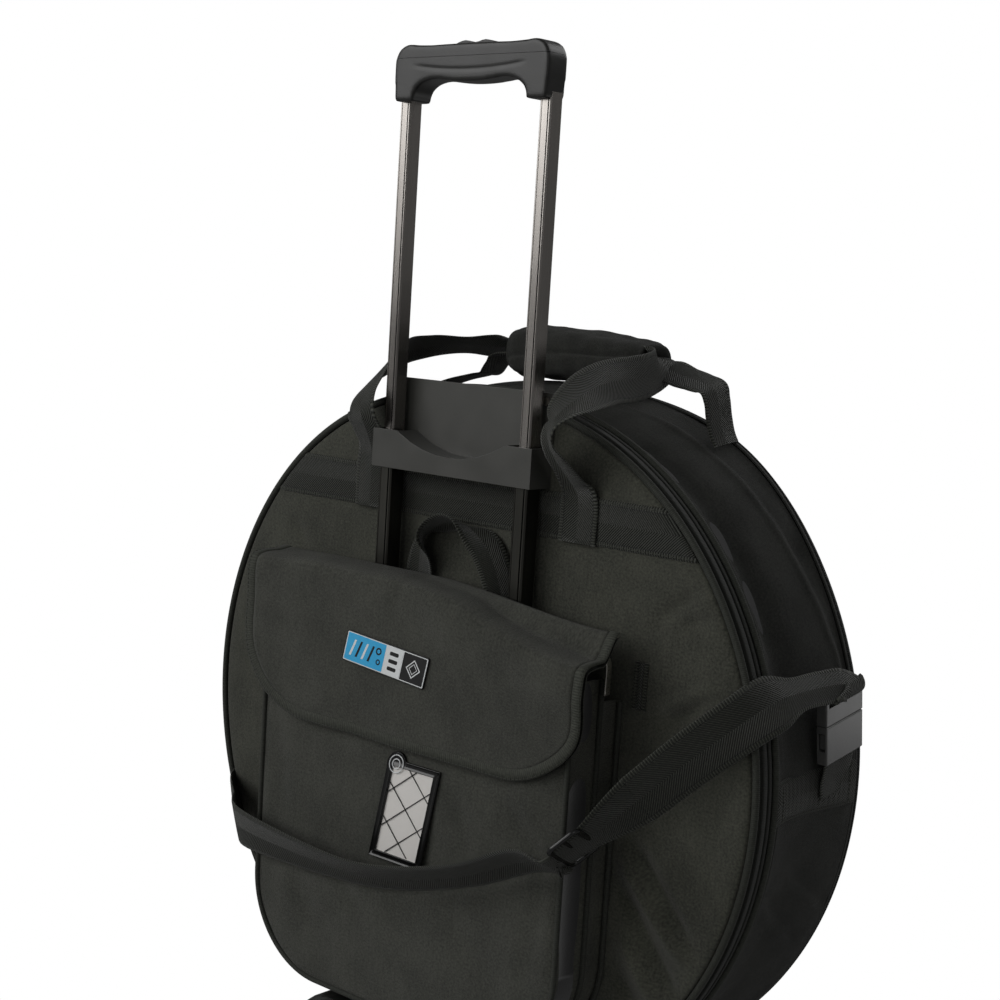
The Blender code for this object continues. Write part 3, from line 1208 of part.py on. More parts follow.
def side_x(z, lift):
    """How far out the side of the band lies at a height above the case's middle."""
    return math.sqrt((CASE_RADIUS + lift) ** 2 - z * z)


def frame_at(place, along, across):
    """A frame with its first axis along, its second across, and its third facing out."""
    along = Vector(along).normalized()
    across = Vector(across)
    across = (across - along * across.dot(along)).normalized()
    frame = Matrix((along, across, across.cross(along))).transposed().to_4x4()
    frame.translation = Vector(place)
    return frame


def placed_box(frame, low, high, edge=0.0):
    """A box given in the frame's own measures."""
    mesh = box_mesh(low, high, edge)
    bmesh.ops.transform(mesh, matrix=frame, verts=mesh.verts)
    return mesh


def buckle_frame(side):
    """The foot of a buckle, its pull direction and its width: up on the right, down on the left."""
    turn = math.radians(BUCKLE_TURN_RIGHT if side > 0 else BUCKLE_TURN_LEFT)
    reach = side * (ANCHOR_HEIGHT / 2 + BUCKLE_HANG)
    place = (
        side * (CASE_RADIUS + BUCKLE_LIFT),
        MAIN_BAND_BACK_Y - BUCKLE_INSET,
        CENTRE_Z + ANCHOR_RISE + reach,
    )
    along = (0, -math.sin(turn), math.cos(turn))
    return frame_at(place, along, Vector(along).cross((side, 0, 0)))


def build_anchors():
    """A webbing patch on each side of the band, with a side-release buckle on its tab."""
    for side, name in ((-1, "left"), (1, "right")):
        steps = 4
        lift = SEAM_GAP + REAR_GROWTH
        inner, outer = [], []
        for i in range(steps + 1):
            z = ANCHOR_HEIGHT * (i / steps - 0.5) + ANCHOR_RISE
            inner.append((side * side_x(z, lift), CENTRE_Z + z))
            outer.append((side * side_x(z, lift + ANCHOR_THICK), CENTRE_Z + z))
        mesh = prism_y(inner + list(reversed(outer)), MAIN_BAND_Y - PIPING_RADIUS, MAIN_BAND_BACK_Y)
        patch = add_object(f"strap_anchor_{name}", mesh, "webbing")
        frame = buckle_frame(side)
        half = STRAP_WIDTH / 2
        depth = BUCKLE_LIFT - lift - SEAM_GAP
        tab = placed_box(frame, (-BUCKLE_HANG - half / 2, -half, -depth), (-SEAM_GAP, half, ANCHOR_THICK / 2))
        join(patch, tab, "tab")
        build_buckle(name, frame)


def build_buckle(name, frame):
    """A side-release buckle: its socket, and its plug with a tongue and two sprung arms."""
    t, w, b = BUCKLE_THICK / 2, BUCKLE_WIDTH / 2, BUCKLE_WALL
    split = BUCKLE_LENGTH * BUCKLE_SPLIT_SHARE
    p = PRONG_WIDTH
    far = CUT_OVERRUN
    body = placed_box(frame, (0, -w, -t), (split, w, t), b / 2)
    socket = add_object(f"buckle_socket_{name}", body, "satin plastic")
    cut(socket, placed_box(frame, (p, 2 * b - w, b - t), (split + far, w - 2 * b, t - b)), "hollow")
    cut(socket, placed_box(frame, (2 * p, -w - far, b - t), (split - p, w + far, t - b)), "windows")
    body = placed_box(frame, (split + SEAM_GAP, -w, -t), (BUCKLE_LENGTH, w, t), b / 2)
    plug = add_object(f"buckle_plug_{name}", body, "satin plastic")
    slot_half = STRAP_WIDTH / 2 + LOOSE_GAP
    low, high = BUCKLE_LENGTH - BUCKLE_BAR - p, BUCKLE_LENGTH - BUCKLE_BAR
    cut(plug, placed_box(frame, (low, -slot_half, -t - far), (high, slot_half, t + far)), "slot")
    join(plug, placed_box(frame, (2 * p, -p, -t / 3), (split + p, p, t / 3)), "tongue")
    for turn, end in ((-1, "first"), (1, "second")):
        outer, inner, root = [turn * (w - b - share * p) for share in (0, 1, 2)]
        head = placed_box(
            frame, *corners((2 * p + LOOSE_GAP, outer, -t / 2), (split - p - LOOSE_GAP, inner, t / 2))
        )
        join(plug, head, f"prong_{end}")
        arm = placed_box(frame, *corners((3 * p, inner + turn * b, -t / 2), (split + p, root, t / 2)))
        join(plug, arm, f"arm_{end}")


def corners(a, b):
    """The low and the high corner of the box between two points."""
    return [min(pair) for pair in zip(a, b)], [max(pair) for pair in zip(a, b)]


def near_case(side_share, depth_share, height_share):
    """A place given from the middle of the front face, in shares of the case's radius."""
    return (
        CASE_RADIUS * side_share,
        FACE_Y + CASE_RADIUS * depth_share,
        CENTRE_Z + CASE_RADIUS * height_share,
    )


def strap_stretch():
    """Where the adjuster sits, and the direction of the straight stretch of strap that it slides on."""
    height = CENTRE_Z + CASE_RADIUS * ADJUSTER_HEIGHT_SHARE
    place = Vector((POCKET_HALF_WIDTH + ADJUSTER_REACH, STRAP_FRONT_Y - STRAP_WIDTH / 3, height))
    return place, (Vector(near_case(*RIM_SHARES)) - place).normalized()


def build_strap():
    """The shoulder strap: from the left buckle round the front of the pocket to the right buckle."""
    half = STRAP_WIDTH / 2
    end = BUCKLE_LENGTH - BUCKLE_BAR - PRONG_WIDTH / 2
    out = BUCKLE_THICK / 2 + 2.6 * STRAP_THICK
    tail = [
        (end, 0, 0),
        (end + STRAP_THICK / 2, 0, out - STRAP_THICK),
        (BUCKLE_LENGTH + 2 * STRAP_THICK, 0, out),
    ]
    left, right = buckle_frame(-1), buckle_frame(1)
    points = [left @ Vector(place) for place in tail]
    sides = [left.col[1].xyz] * 3
    for place, side in LEFT_STRAP_SHARES:
        points.append(near_case(*place))
        sides.append(side)
    for side_share, height_share, lean in FRONT_STRAP_SHARES:
        side = Vector((0, math.sin(math.radians(lean)), -math.cos(math.radians(lean))))
        low = Vector((POCKET_HALF_WIDTH * side_share, STRAP_FRONT_Y, CENTRE_Z + CASE_RADIUS * height_share))
        points.append(low - side * half)
        sides.append(side)
    place, along = strap_stretch()
    across = along.cross(Vector(ADJUSTER_FACING))
    for share in (-0.8, -0.5, 0.5):
        points.append(place + along * ADJUSTER_LENGTH * share)
        sides.append(across)
    for share in (0.5, 0.8):
        points.append(place + along * (ADJUSTER_TRAVEL + ADJUSTER_LENGTH * share))
        sides.append(across)
    for spot, side in RIGHT_STRAP_SHARES:
        points.append(near_case(*spot))
        sides.append(side)
    points += [right @ Vector(place) for place in reversed(tail)]
    sides += [-right.col[1].xyz] * 3
    widths = [STRAP_WIDTH] * (len(points) - 6) + [STRAP_WIDTH * STRAP_BUNCH_SHARE] * 3 + [STRAP_WIDTH] * 3
    add_object("shoulder_strap", ribbon_mesh(points, sides, widths, STRAP_THICK, 2), "webbing")
    build_adjuster(place, along, across)


def build_adjuster(place, along, across):
    """The slide adjuster: a frame round the strap, with a window either side of its middle bar."""
    frame = frame_at(place, along, across)
    length, width, thick = ADJUSTER_LENGTH / 2, ADJUSTER_WIDTH / 2, ADJUSTER_THICK / 2
    low, high = (-length, -width, -thick), (length, width, thick)
    obj = add_object("strap_adjuster", placed_box(frame, low, high), "moulded plastic", tuple(place))
    slot_half, slot_rise = STRAP_WIDTH / 2 + LOOSE_GAP, STRAP_THICK / 2 + LOOSE_GAP
    far = CUT_OVERRUN
    cut(
        obj,
        placed_box(frame, (-length - far, -slot_half, -slot_rise), (length + far, slot_half, slot_rise)),
        "slot",
    )
    for turn, name in ((-1, "low"), (1, "high")):
        near, away = turn * ADJUSTER_BAR / 2, turn * (length - ADJUSTER_BAR)
        window = placed_box(frame, *corners((near, -slot_half, -far), (away, slot_half, far)))
        cut(obj, window, f"window_{name}")


clear_scene()
build_case_shell()
build_zips()
build_lid()
build_divider()
build_tubes()
build_cup()
build_grip()
build_housing()
build_tray()
build_pocket()
build_window()
build_front_webbing()
build_carry_handles()
build_grab_loop()
build_anchors()
build_strap()
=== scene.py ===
import math

import bmesh
import bpy
import numpy as np
from mathutils import Matrix, Vector


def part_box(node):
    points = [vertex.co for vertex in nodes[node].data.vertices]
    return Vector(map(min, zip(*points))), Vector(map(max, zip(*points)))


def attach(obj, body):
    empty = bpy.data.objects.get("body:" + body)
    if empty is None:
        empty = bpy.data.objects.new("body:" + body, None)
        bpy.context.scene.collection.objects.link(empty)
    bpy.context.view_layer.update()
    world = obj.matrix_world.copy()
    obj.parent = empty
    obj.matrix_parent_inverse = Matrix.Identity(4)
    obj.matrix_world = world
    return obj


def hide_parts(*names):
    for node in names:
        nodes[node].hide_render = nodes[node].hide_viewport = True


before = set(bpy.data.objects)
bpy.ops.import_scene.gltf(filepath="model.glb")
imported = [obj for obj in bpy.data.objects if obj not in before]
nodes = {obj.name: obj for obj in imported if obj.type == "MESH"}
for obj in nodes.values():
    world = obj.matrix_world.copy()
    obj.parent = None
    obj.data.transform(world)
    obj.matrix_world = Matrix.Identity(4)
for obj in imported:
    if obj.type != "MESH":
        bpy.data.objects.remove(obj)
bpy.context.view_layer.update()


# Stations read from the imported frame


def extent(node):
    low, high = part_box(node)
    return np.array(low), np.array(high)


panelLow, panelHigh = extent("front_panel")
bandLow, bandHigh = extent("main_band")
frontBandLow, frontBandHigh = extent("front_band")
pocketLow = extent("pocket_body")[0]
flapLow, flapHigh = extent("pocket_flap")
lidLow, lidHigh = extent("back_panel")
tubeLow, tubeHigh = extent("outer_tube_left")
caseX = (panelLow[0] + panelHigh[0]) / 2
centreZ = (panelLow[2] + panelHigh[2]) / 2
faceY = panelLow[1]
panelRadius = (panelHigh[0] - panelLow[0]) / 2
tubeSpacing = 2 * (caseX - (tubeLow[0] + tubeHigh[0]) / 2)

shell = {
    "topSag": 0.012,
    "bottomFlat": 0.012,
    "sagReach": 0.17,
    "shoulderLift": 0.011,
    "shoulderPlace": 0.21,
    "shoulderReach": 0.10,
    "rearGrowth": 0.003,
    "caseRadius": 0.325,
    "frontBandRadius": 0.3215,
    "waist": 0.0085,
    "wall": 0.0065,
    "piping": 0.0035,
    "seam": 0.0003,
    "liningEase": 0.0035,
    "frontPipingInset": 0.0022,
    "middlePipingRadius": 0.32325,
    "rearPipingGap": 0.0038,
    "rearZipInset": 0.0015,
    "frontZipWidth": 0.0125,
}
liningRadius = shell["frontBandRadius"] + shell["liningEase"] - shell["waist"] - shell["wall"]


# Mesh helpers


# Places on the rounded case: level with a radius, an angle from the right and a depth.
def casePoints(radius, angle, y):
    radius, angle, y = np.broadcast_arrays(radius, angle, y)
    x = radius * np.cos(angle)
    z = radius * np.sin(angle)
    reach = np.exp(-((x / shell["sagReach"]) ** 2))
    pull = np.where(z > 0, shell["topSag"], -shell["bottomFlat"])
    z = z - pull * reach * np.minimum(1, abs(z) / shell["sagReach"])
    rear = np.clip((y - bandLow[1]) / (bandHigh[1] - bandLow[1]), 0, 1)
    bump = np.exp(-(((abs(x) - shell["shoulderPlace"]) / shell["shoulderReach"]) ** 2))
    z = z + np.where(z > 0, shell["shoulderLift"] * rear * bump, 0)
    return np.stack([caseX + x, y, centreZ + z], -1)


# Soft unevenness: waves of fixed random directions, between -1 and 1 or so.
def unevenness(points, size, seed, waves=14):
    maker = np.random.RandomState(seed)
    total = np.zeros(points.shape[:-1])
    for _ in range(waves):
        way = maker.normal(size=3)
        way *= 2 * math.pi / (size * maker.uniform(0.7, 1.6) * np.linalg.norm(way))
        total += np.sin(points @ way + maker.uniform(0, 6.28))
    return total / math.sqrt(waves)


def smoothStep(value, low, high):
    share = np.clip((value - low) / (high - low), 0, 1)
    return share * share * (3 - 2 * share)


# Collects grids of points, each with cloth coordinates in metres and a material slot, into a mesh.
class Patchwork:
    def __init__(self):
        self.points = []
        self.faces = []
        self.cloth = []
        self.slots = []
        self.count = 0

    def grid(self, points, cloth, slot=0, ring=False, tube=False, flip=False):
        points = np.asarray(points, float)
        rows, columns = points.shape[:2]
        i, j = np.meshgrid(
            np.arange(rows if ring else rows - 1),
            np.arange(columns if tube else columns - 1),
            indexing="ij",
        )
        steps = [(0, 0), (0, 1), (1, 1), (1, 0)]
        if flip:
            steps.reverse()
        corners = [((i + a) % rows) * columns + (j + b) % columns for a, b in steps]
        self.faces.append(np.stack(corners, -1).reshape(-1, 4) + self.count)
        self.cloth.append(np.stack([cloth[i + a, j + b] for a, b in steps], 2).reshape(-1, 2))
        self.slots.append(np.full(i.size, slot))
        self.points.append(points.reshape(-1, 3))
        self.count += rows * columns

    def build(self, name, materials, smooth=True, weld=1e-6):
        mesh = bpy.data.meshes.new(name)
        faces = np.concatenate(self.faces)
        mesh.from_pydata(np.concatenate(self.points).tolist(), [], faces.tolist())
        layer = mesh.uv_layers.new(name="cloth")
        layer.data.foreach_set("uv", np.concatenate(self.cloth).ravel())
        mesh.polygons.foreach_set("material_index", np.concatenate(self.slots).astype(np.int32))
        mesh.polygons.foreach_set("use_smooth", np.full(len(faces), smooth))
        for material in materials:
            mesh.materials.append(material)
        edit = bmesh.new()
        edit.from_mesh(mesh)
        bmesh.ops.remove_doubles(edit, verts=edit.verts, dist=weld)
        edit.to_mesh(mesh)
        edit.free()
        obj = bpy.data.objects.new(name, mesh)
        bpy.context.scene.collection.objects.link(obj)
        return obj


# Cloth coordinates of a grid: the mean length along its rows and along its columns, in metres.
def clothOf(points, ring=False, tube=False, startU=0.0, startV=0.0):
    if ring:
        points = np.concatenate([points, points[:1]])
    if tube:
        points = np.concatenate([points, points[:, :1]], 1)
    down = np.linalg.norm(np.diff(points, axis=0), axis=2).mean(1)
    across = np.linalg.norm(np.diff(points, axis=1), axis=2).mean(0)
    v = startV + np.concatenate([[0], np.cumsum(down)])
    u = startU + np.concatenate([[0], np.cumsum(across)])
    return np.stack(np.meshgrid(v, u, indexing="ij")[::-1], -1)


def smoothPath(points, steps):
    points = np.asarray(points, float)
    padded = np.concatenate([[2 * points[0] - points[1]], points, [2 * points[-1] - points[-2]]])
    path = []
    for a, b, c, d in zip(padded, padded[1:], padded[2:], padded[3:]):
        for i in range(steps):
            t = i / steps
            bend = (2 * a - 5 * b + 4 * c - d) * t**2 + (3 * b - a - 3 * c + d) * t**3
            path.append(b + ((c - a) * t + bend) / 2)
    path.append(points[-1])
    return np.array(path)


def unit(vectors):
    vectors = np.asarray(vectors, float)
    return vectors / np.maximum(np.linalg.norm(vectors, axis=-1, keepdims=True), 1e-12)


# The width's direction and the face's direction at each point of a strap's middle line.
def strapFrames(middle, across):
    along = np.empty_like(middle)
    along[1:-1] = middle[2:] - middle[:-2]
    along[0] = middle[1] - middle[0]
    along[-1] = middle[-1] - middle[-2]
    along = unit(along)
    across = unit(across - along * (across * along).sum(1, keepdims=True))
    return along, across, np.cross(across, along)


# A woven strap: rounded edges, a gentle cup across its width, cloth coordinates from its middle.
def addStrap(parts, middle, across, width, thick, slot=0, cup=0.0, caps=True):
    middle = np.asarray(middle, float)
    _, across, facing = strapFrames(middle, np.asarray(across, float))
    width = np.broadcast_to(np.asarray(width, float), len(middle))
    shares = np.array([-1, -0.96, -0.88, -0.5, 0, 0.5, 0.88, 0.96, 1])
    rise = np.array([0.0, 0.72, 1, 1, 1, 1, 1, 0.72, 0.0])
    outline = np.concatenate([np.stack([shares, rise], 1), np.stack([shares[-2:0:-1], -rise[-2:0:-1]], 1)])
    places = []
    for share, up in outline:
        bow = cup * (1 - share**2)
        offset = across * (width / 2 * share)[:, None]
        places.append(middle + offset + facing * (up * thick / 2 + bow))
    points = np.stack(places, 1)
    run = np.concatenate([[0], np.cumsum(np.linalg.norm(np.diff(middle, axis=0), axis=1))])
    u = np.concatenate([outline[:, 0], outline[:1, 0]]) * width.max() / 2
    cloth = np.stack(np.meshgrid(run, u, indexing="ij")[::-1], -1)
    parts.grid(points, cloth, slot, tube=True, flip=True)
    if caps:
        half = len(shares)
        for end, turned in ((0, True), (-1, False)):
            upper = points[end, :half]
            lower = np.concatenate([points[end, :1], points[end, half:][::-1], points[end, half - 1 : half]])
            parts.grid(np.stack([upper, lower]), cloth[:2, :half], slot, flip=turned)
    return points


# A round cord along a path, closed at the ends or joined into a ring.
def addCord(parts, path, radius, slot=0, ring=False, sides=10):
    path = np.asarray(path, float)
    if ring:
        along = unit(np.roll(path, -1, 0) - np.roll(path, 1, 0))
    else:
        along = unit(np.gradient(path, axis=0))
    guide = np.array([0, 1, 0.01])
    side = unit(np.cross(along, guide))
    up = np.cross(side, along)
    turn = 2 * math.pi * np.arange(sides) / sides
    points = path[:, None] + radius * (
        side[:, None] * np.cos(turn)[None, :, None] + up[:, None] * np.sin(turn)[None, :, None]
    )
    cloth = clothOf(points, ring=ring, tube=True)
    parts.grid(points, cloth, slot, ring=ring, tube=True, flip=True)


def newObject(name, mesh, materials):
    data = bpy.data.meshes.new(name)
    mesh.to_mesh(data)
    mesh.free()
    data.shade_smooth()
    data.set_sharp_from_angle(angle=math.radians(40))
    for material in materials:
        data.materials.append(material)
    obj = bpy.data.objects.new(name, data)
    bpy.context.scene.collection.objects.link(obj)
    return obj


# The object's mesh with its modifiers worked in and taken off.
def settle(obj):
    graph = bpy.context.evaluated_depsgraph_get()
    whole = obj.evaluated_get(graph)
    mesh = bpy.data.meshes.new_from_object(whole, preserve_all_data_layers=True, depsgraph=graph)
    old = obj.data
    obj.modifiers.clear()
    obj.data = mesh
    mesh.name = obj.name
    bpy.data.meshes.remove(old)
    return obj


def addBevel(obj, width, segments=3, angle=35):
    modifier = obj.modifiers.new("edges", "BEVEL")
    modifier.width = width
    modifier.segments = segments
    modifier.limit_method = "ANGLE"
    modifier.angle_limit = math.radians(angle)
    modifier.harden_normals = True


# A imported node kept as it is, with its hard edges broken by a small radius.
def keep(name, material, edge=0.0, segments=2):
    obj = nodes[name]
    obj.data.materials.clear()
    obj.data.materials.append(material)
    if edge:
        weld = obj.modifiers.new("weld", "WELD")
        weld.merge_threshold = 1e-5
        addBevel(obj, edge, segments)
    return obj


def finishPiece(obj, body, replaced=()):
    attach(obj, body)
    if replaced:
        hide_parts(*replaced)
    return obj


# Materials


def linear(code):
    values = [int(code[i : i + 2], 16) / 255 for i in (1, 3, 5)]
    return tuple(v / 12.92 if v <= 0.04045 else ((v + 0.055) / 1.055) ** 2.4 for v in values) + (1.0,)


# Adds a node; an input given as a socket is linked, any other value is set.
def addNode(tree, kind, inputs=None, **settings):
    node = tree.nodes.new(kind)
    for key, value in settings.items():
        setattr(node, key, value)
    for key, value in (inputs or {}).items():
        socket = node.inputs[key]
        if isinstance(value, bpy.types.NodeSocket):
            tree.links.new(value, socket)
        else:
            socket.default_value = value
    return node


def calc(tree, operation, a, b=0.0, c=None):
    inputs = {0: a, 1: b}
    if c is not None:
        inputs[2] = c
    return addNode(tree, "ShaderNodeMath", inputs, operation=operation).outputs[0]


def mixColours(tree, share, a, b):
    node = addNode(tree, "ShaderNodeMix", {0: share}, data_type="RGBA")
    for key, value in ((6, a), (7, b)):
        if isinstance(value, bpy.types.NodeSocket):
            tree.links.new(value, node.inputs[key])
        else:
            node.inputs[key].default_value = value
    return node.outputs[2]


def noiseOf(tree, size, detail=2.0, vector=None, stretch=None):
    if vector is None:
        vector = addNode(tree, "ShaderNodeTexCoord").outputs["Object"]
    if stretch:
        scaled = addNode(tree, "ShaderNodeVectorMath", {0: vector, 1: stretch}, operation="MULTIPLY")
        vector = scaled.outputs[0]
    inputs = {"Vector": vector, "Scale": 1 / size, "Detail": detail}
    return addNode(tree, "ShaderNodeTexNoise", inputs).outputs["Fac"]


# A Principled material and its tree; the settings are its socket names and values.
def newMaterial(name, **sockets):
    material = bpy.data.materials.new(name)
    material.use_nodes = True
    shader = material.node_tree.nodes["Principled BSDF"]
    for key, value in sockets.items():
        shader.inputs[key.replace("_", " ")].default_value = value
    return material, material.node_tree, shader


def setBump(tree, shader, height, distance, strength=1.0):
    inputs = {"Height": height, "Distance": distance, "Strength": strength}
    bump = addNode(tree, "ShaderNodeBump", inputs)
    tree.links.new(bump.outputs[0], shader.inputs["Normal"])


def clothAxes(tree):
    vector = addNode(tree, "ShaderNodeUVMap", uv_map="cloth").outputs[0]
    split = addNode(tree, "ShaderNodeSeparateXYZ", {0: vector})
    return split.outputs[0], split.outputs[1], vector


# Plain-woven pack cloth: threads over and under, uneven yarn and a mottled dye.
def makePackCloth(name, dark, light, thread=0.0011, sheen=0.12):
    material, tree, shader = newMaterial(name, Roughness=0.78, Sheen_Weight=sheen, Sheen_Roughness=0.5)
    shader.inputs["Specular IOR Level"].default_value = 0.30
    across, along, vector = clothAxes(tree)
    waveA = calc(tree, "SINE", calc(tree, "MULTIPLY", across, 2 * math.pi / thread))
    waveB = calc(tree, "SINE", calc(tree, "MULTIPLY", along, 2 * math.pi / thread))
    weave = calc(tree, "MULTIPLY", waveA, waveB)
    fine = noiseOf(tree, 0.0021, 3.0, vector)
    broad = noiseOf(tree, 0.040, 3.0)
    slubs = noiseOf(tree, 0.0042, 2.0, vector, (1.0, 0.25, 1.0))
    share = calc(tree, "MULTIPLY_ADD", weave, 0.16, -1.17)
    share = calc(tree, "MULTIPLY_ADD", fine, 1.90, share)
    share = calc(tree, "MULTIPLY_ADD", slubs, 0.50, share)
    share = calc(tree, "MULTIPLY_ADD", broad, 0.90, share)
    colour = mixColours(tree, share, linear(dark), linear(light))
    tree.links.new(colour, shader.inputs["Base Color"])
    height = calc(tree, "MULTIPLY_ADD", fine, 0.6, weave)
    setBump(tree, shader, height, 0.00030, 0.8)
    return material


# Herringbone webbing of a given width: two rows of slanting ribs that meet in the middle, and
# short upright bars along both edges.
def makeWebbing(name, width, dark, light, rib=0.0025):
    material, tree, shader = newMaterial(name, Roughness=0.62, Sheen_Weight=0.15, Sheen_Roughness=0.4)
    shader.inputs["Specular IOR Level"].default_value = 0.35
    across, along, vector = clothAxes(tree)
    out = calc(tree, "ABSOLUTE", across)
    slant = calc(tree, "ADD", along, calc(tree, "MULTIPLY", out, 0.95))
    ribs = calc(tree, "SINE", calc(tree, "MULTIPLY", slant, 2 * math.pi / rib))
    bars = calc(tree, "SINE", calc(tree, "MULTIPLY", along, 2 * math.pi / rib))
    seam = width / 2 - 0.0045
    atEdge = calc(tree, "GREATER_THAN", out, seam)
    height = addNode(tree, "ShaderNodeMix", {0: atEdge, 2: ribs, 3: bars}, data_type="FLOAT").outputs[0]
    fromSeam = calc(tree, "ABSOLUTE", calc(tree, "SUBTRACT", out, seam))
    furrow = calc(tree, "LESS_THAN", fromSeam, 0.0005)
    height = calc(tree, "SUBTRACT", height, calc(tree, "MULTIPLY", furrow, 1.2))
    fine = noiseOf(tree, 0.0022, 2.0, vector)
    atBars = calc(tree, "MULTIPLY_ADD", atEdge, 0.14, calc(tree, "MULTIPLY", fine, 0.70))
    share = calc(tree, "MULTIPLY_ADD", height, 0.42, atBars)
    colour = mixColours(tree, share, linear(dark), linear(light))
    tree.links.new(colour, shader.inputs["Base Color"])
    setBump(tree, shader, height, 0.00045, 1.0)
    return material


# Ribbed binding tape and zip tape: fine cross ribs.
def makeTape(name, dark, light, rib=0.0016):
    material, tree, shader = newMaterial(name, Roughness=0.72, Sheen_Weight=0.07)
    shader.inputs["Specular IOR Level"].default_value = 0.3
    _, along, vector = clothAxes(tree)
    ribs = calc(tree, "SINE", calc(tree, "MULTIPLY", along, 2 * math.pi / rib))
    fine = noiseOf(tree, 0.0026, 2.0, vector)
    share = calc(tree, "MULTIPLY_ADD", ribs, 0.18, calc(tree, "MULTIPLY", fine, 0.9))
    tree.links.new(mixColours(tree, share, linear(dark), linear(light)), shader.inputs["Base Color"])
    setBump(tree, shader, ribs, 0.00022, 0.6)
    return material


# Moulded plastic: a fine spark-eroded grain and slow changes of shade and sheen.
def makePlastic(name, colour, worn, rough, grain=0.0011, depth=0.00006, coat=0.0):
    material, tree, shader = newMaterial(name, Roughness=rough, Coat_Weight=coat, Coat_Roughness=0.25)
    grainNoise = noiseOf(tree, grain, 3.0)
    broad = noiseOf(tree, 0.03, 3.0)
    share = calc(tree, "MULTIPLY_ADD", broad, 0.8, calc(tree, "MULTIPLY", grainNoise, 0.35))
    share = calc(tree, "SUBTRACT", share, 0.2)
    tree.links.new(mixColours(tree, share, linear(colour), linear(worn)), shader.inputs["Base Color"])
    roughness = calc(tree, "MULTIPLY_ADD", broad, 0.14, rough - 0.07)
    tree.links.new(roughness, shader.inputs["Roughness"])
    setBump(tree, shader, grainNoise, depth, 0.5)
    return material


# Anodised aluminium, drawn lengthwise: long faint streaks, slow changes of sheen, and a painted dark
# reflection near each edge of the front face, a near-black line, the right one wider.
def makeAnodised(name, colour, light, rough, line):
    material, tree, shader = newMaterial(name, Metallic=1.0, Roughness=rough)
    streaks = noiseOf(tree, 0.0016, 3.0, stretch=(1.0, 1.0, 0.02))
    slow = noiseOf(tree, 0.05, 2.0, stretch=(1.0, 1.0, 0.35))
    share = calc(tree, "MULTIPLY_ADD", streaks, 0.5, calc(tree, "MULTIPLY", slow, 0.5))
    place = addNode(tree, "ShaderNodeTexCoord").outputs["Object"]
    x = addNode(tree, "ShaderNodeSeparateXYZ", {0: place}).outputs[0]
    across = calc(tree, "SUBTRACT", x, float(caseX))
    middle = calc(tree, "MULTIPLY", calc(tree, "SIGN", across), tubeSpacing / 2)
    local = calc(tree, "SUBTRACT", across, middle)
    # Painted dark reflection: near-black lines in the base colour beside the edges of the front face, where
    # the rounded edge mirrors a dark gap between lamps; the bump dips there too.
    furrow = calc(tree, "LESS_THAN", calc(tree, "ABSOLUTE", calc(tree, "SUBTRACT", local, line)), 0.00055)
    corner = calc(tree, "LESS_THAN", calc(tree, "ABSOLUTE", calc(tree, "ADD", local, line + 0.0023)), 0.0004)
    furrow = calc(tree, "MAXIMUM", furrow, corner)
    metal = mixColours(tree, share, linear(colour), linear(light))
    tree.links.new(mixColours(tree, furrow, metal, linear("#0b0b0a")), shader.inputs["Base Color"])
    tree.links.new(calc(tree, "MULTIPLY_ADD", slow, 0.16, rough - 0.08), shader.inputs["Roughness"])
    setBump(tree, shader, calc(tree, "SUBTRACT", streaks, calc(tree, "MULTIPLY", furrow, 4)), 0.00002, 0.4)
    return material


def makeSteel(name, colour, rough):
    material, tree, shader = newMaterial(name, Metallic=1.0, Roughness=rough)
    spots = noiseOf(tree, 0.0015, 3.0)
    shade = mixColours(tree, calc(tree, "MULTIPLY", spots, 0.6), linear(colour), linear("#6d6a66"))
    tree.links.new(shade, shader.inputs["Base Color"])
    tree.links.new(calc(tree, "MULTIPLY_ADD", spots, 0.2, rough - 0.1), shader.inputs["Roughness"])
    return material


# Brushed foam lining inside the case: a short uneven nap.
def makeLining(name, dark, light):
    material, tree, shader = newMaterial(name, Roughness=0.95, Sheen_Weight=0.35, Sheen_Roughness=0.6)
    nap = noiseOf(tree, 0.0018, 4.0)
    broad = noiseOf(tree, 0.05, 2.0)
    share = calc(tree, "MULTIPLY_ADD", nap, 0.7, calc(tree, "MULTIPLY", broad, 0.3))
    tree.links.new(mixColours(tree, share, linear(dark), linear(light)), shader.inputs["Base Color"])
    setBump(tree, shader, nap, 0.0004, 0.5)
    return material


# Fluted sheet: narrow flutes that run up the board.
def makeBoard(name, dark, light):
    material, tree, shader = newMaterial(name, Roughness=0.6)
    place = addNode(tree, "ShaderNodeTexCoord").outputs["Object"]
    x = addNode(tree, "ShaderNodeSeparateXYZ", {0: place}).outputs[0]
    flutes = calc(tree, "SINE", calc(tree, "MULTIPLY", x, 2 * math.pi / 0.004))
    dust = noiseOf(tree, 0.02, 4.0)
    share = calc(tree, "MULTIPLY_ADD", flutes, 0.15, calc(tree, "MULTIPLY", dust, 0.8))
    tree.links.new(mixColours(tree, share, linear(dark), linear(light)), shader.inputs["Base Color"])
    setBump(tree, shader, flutes, 0.0003, 0.5)
    return material


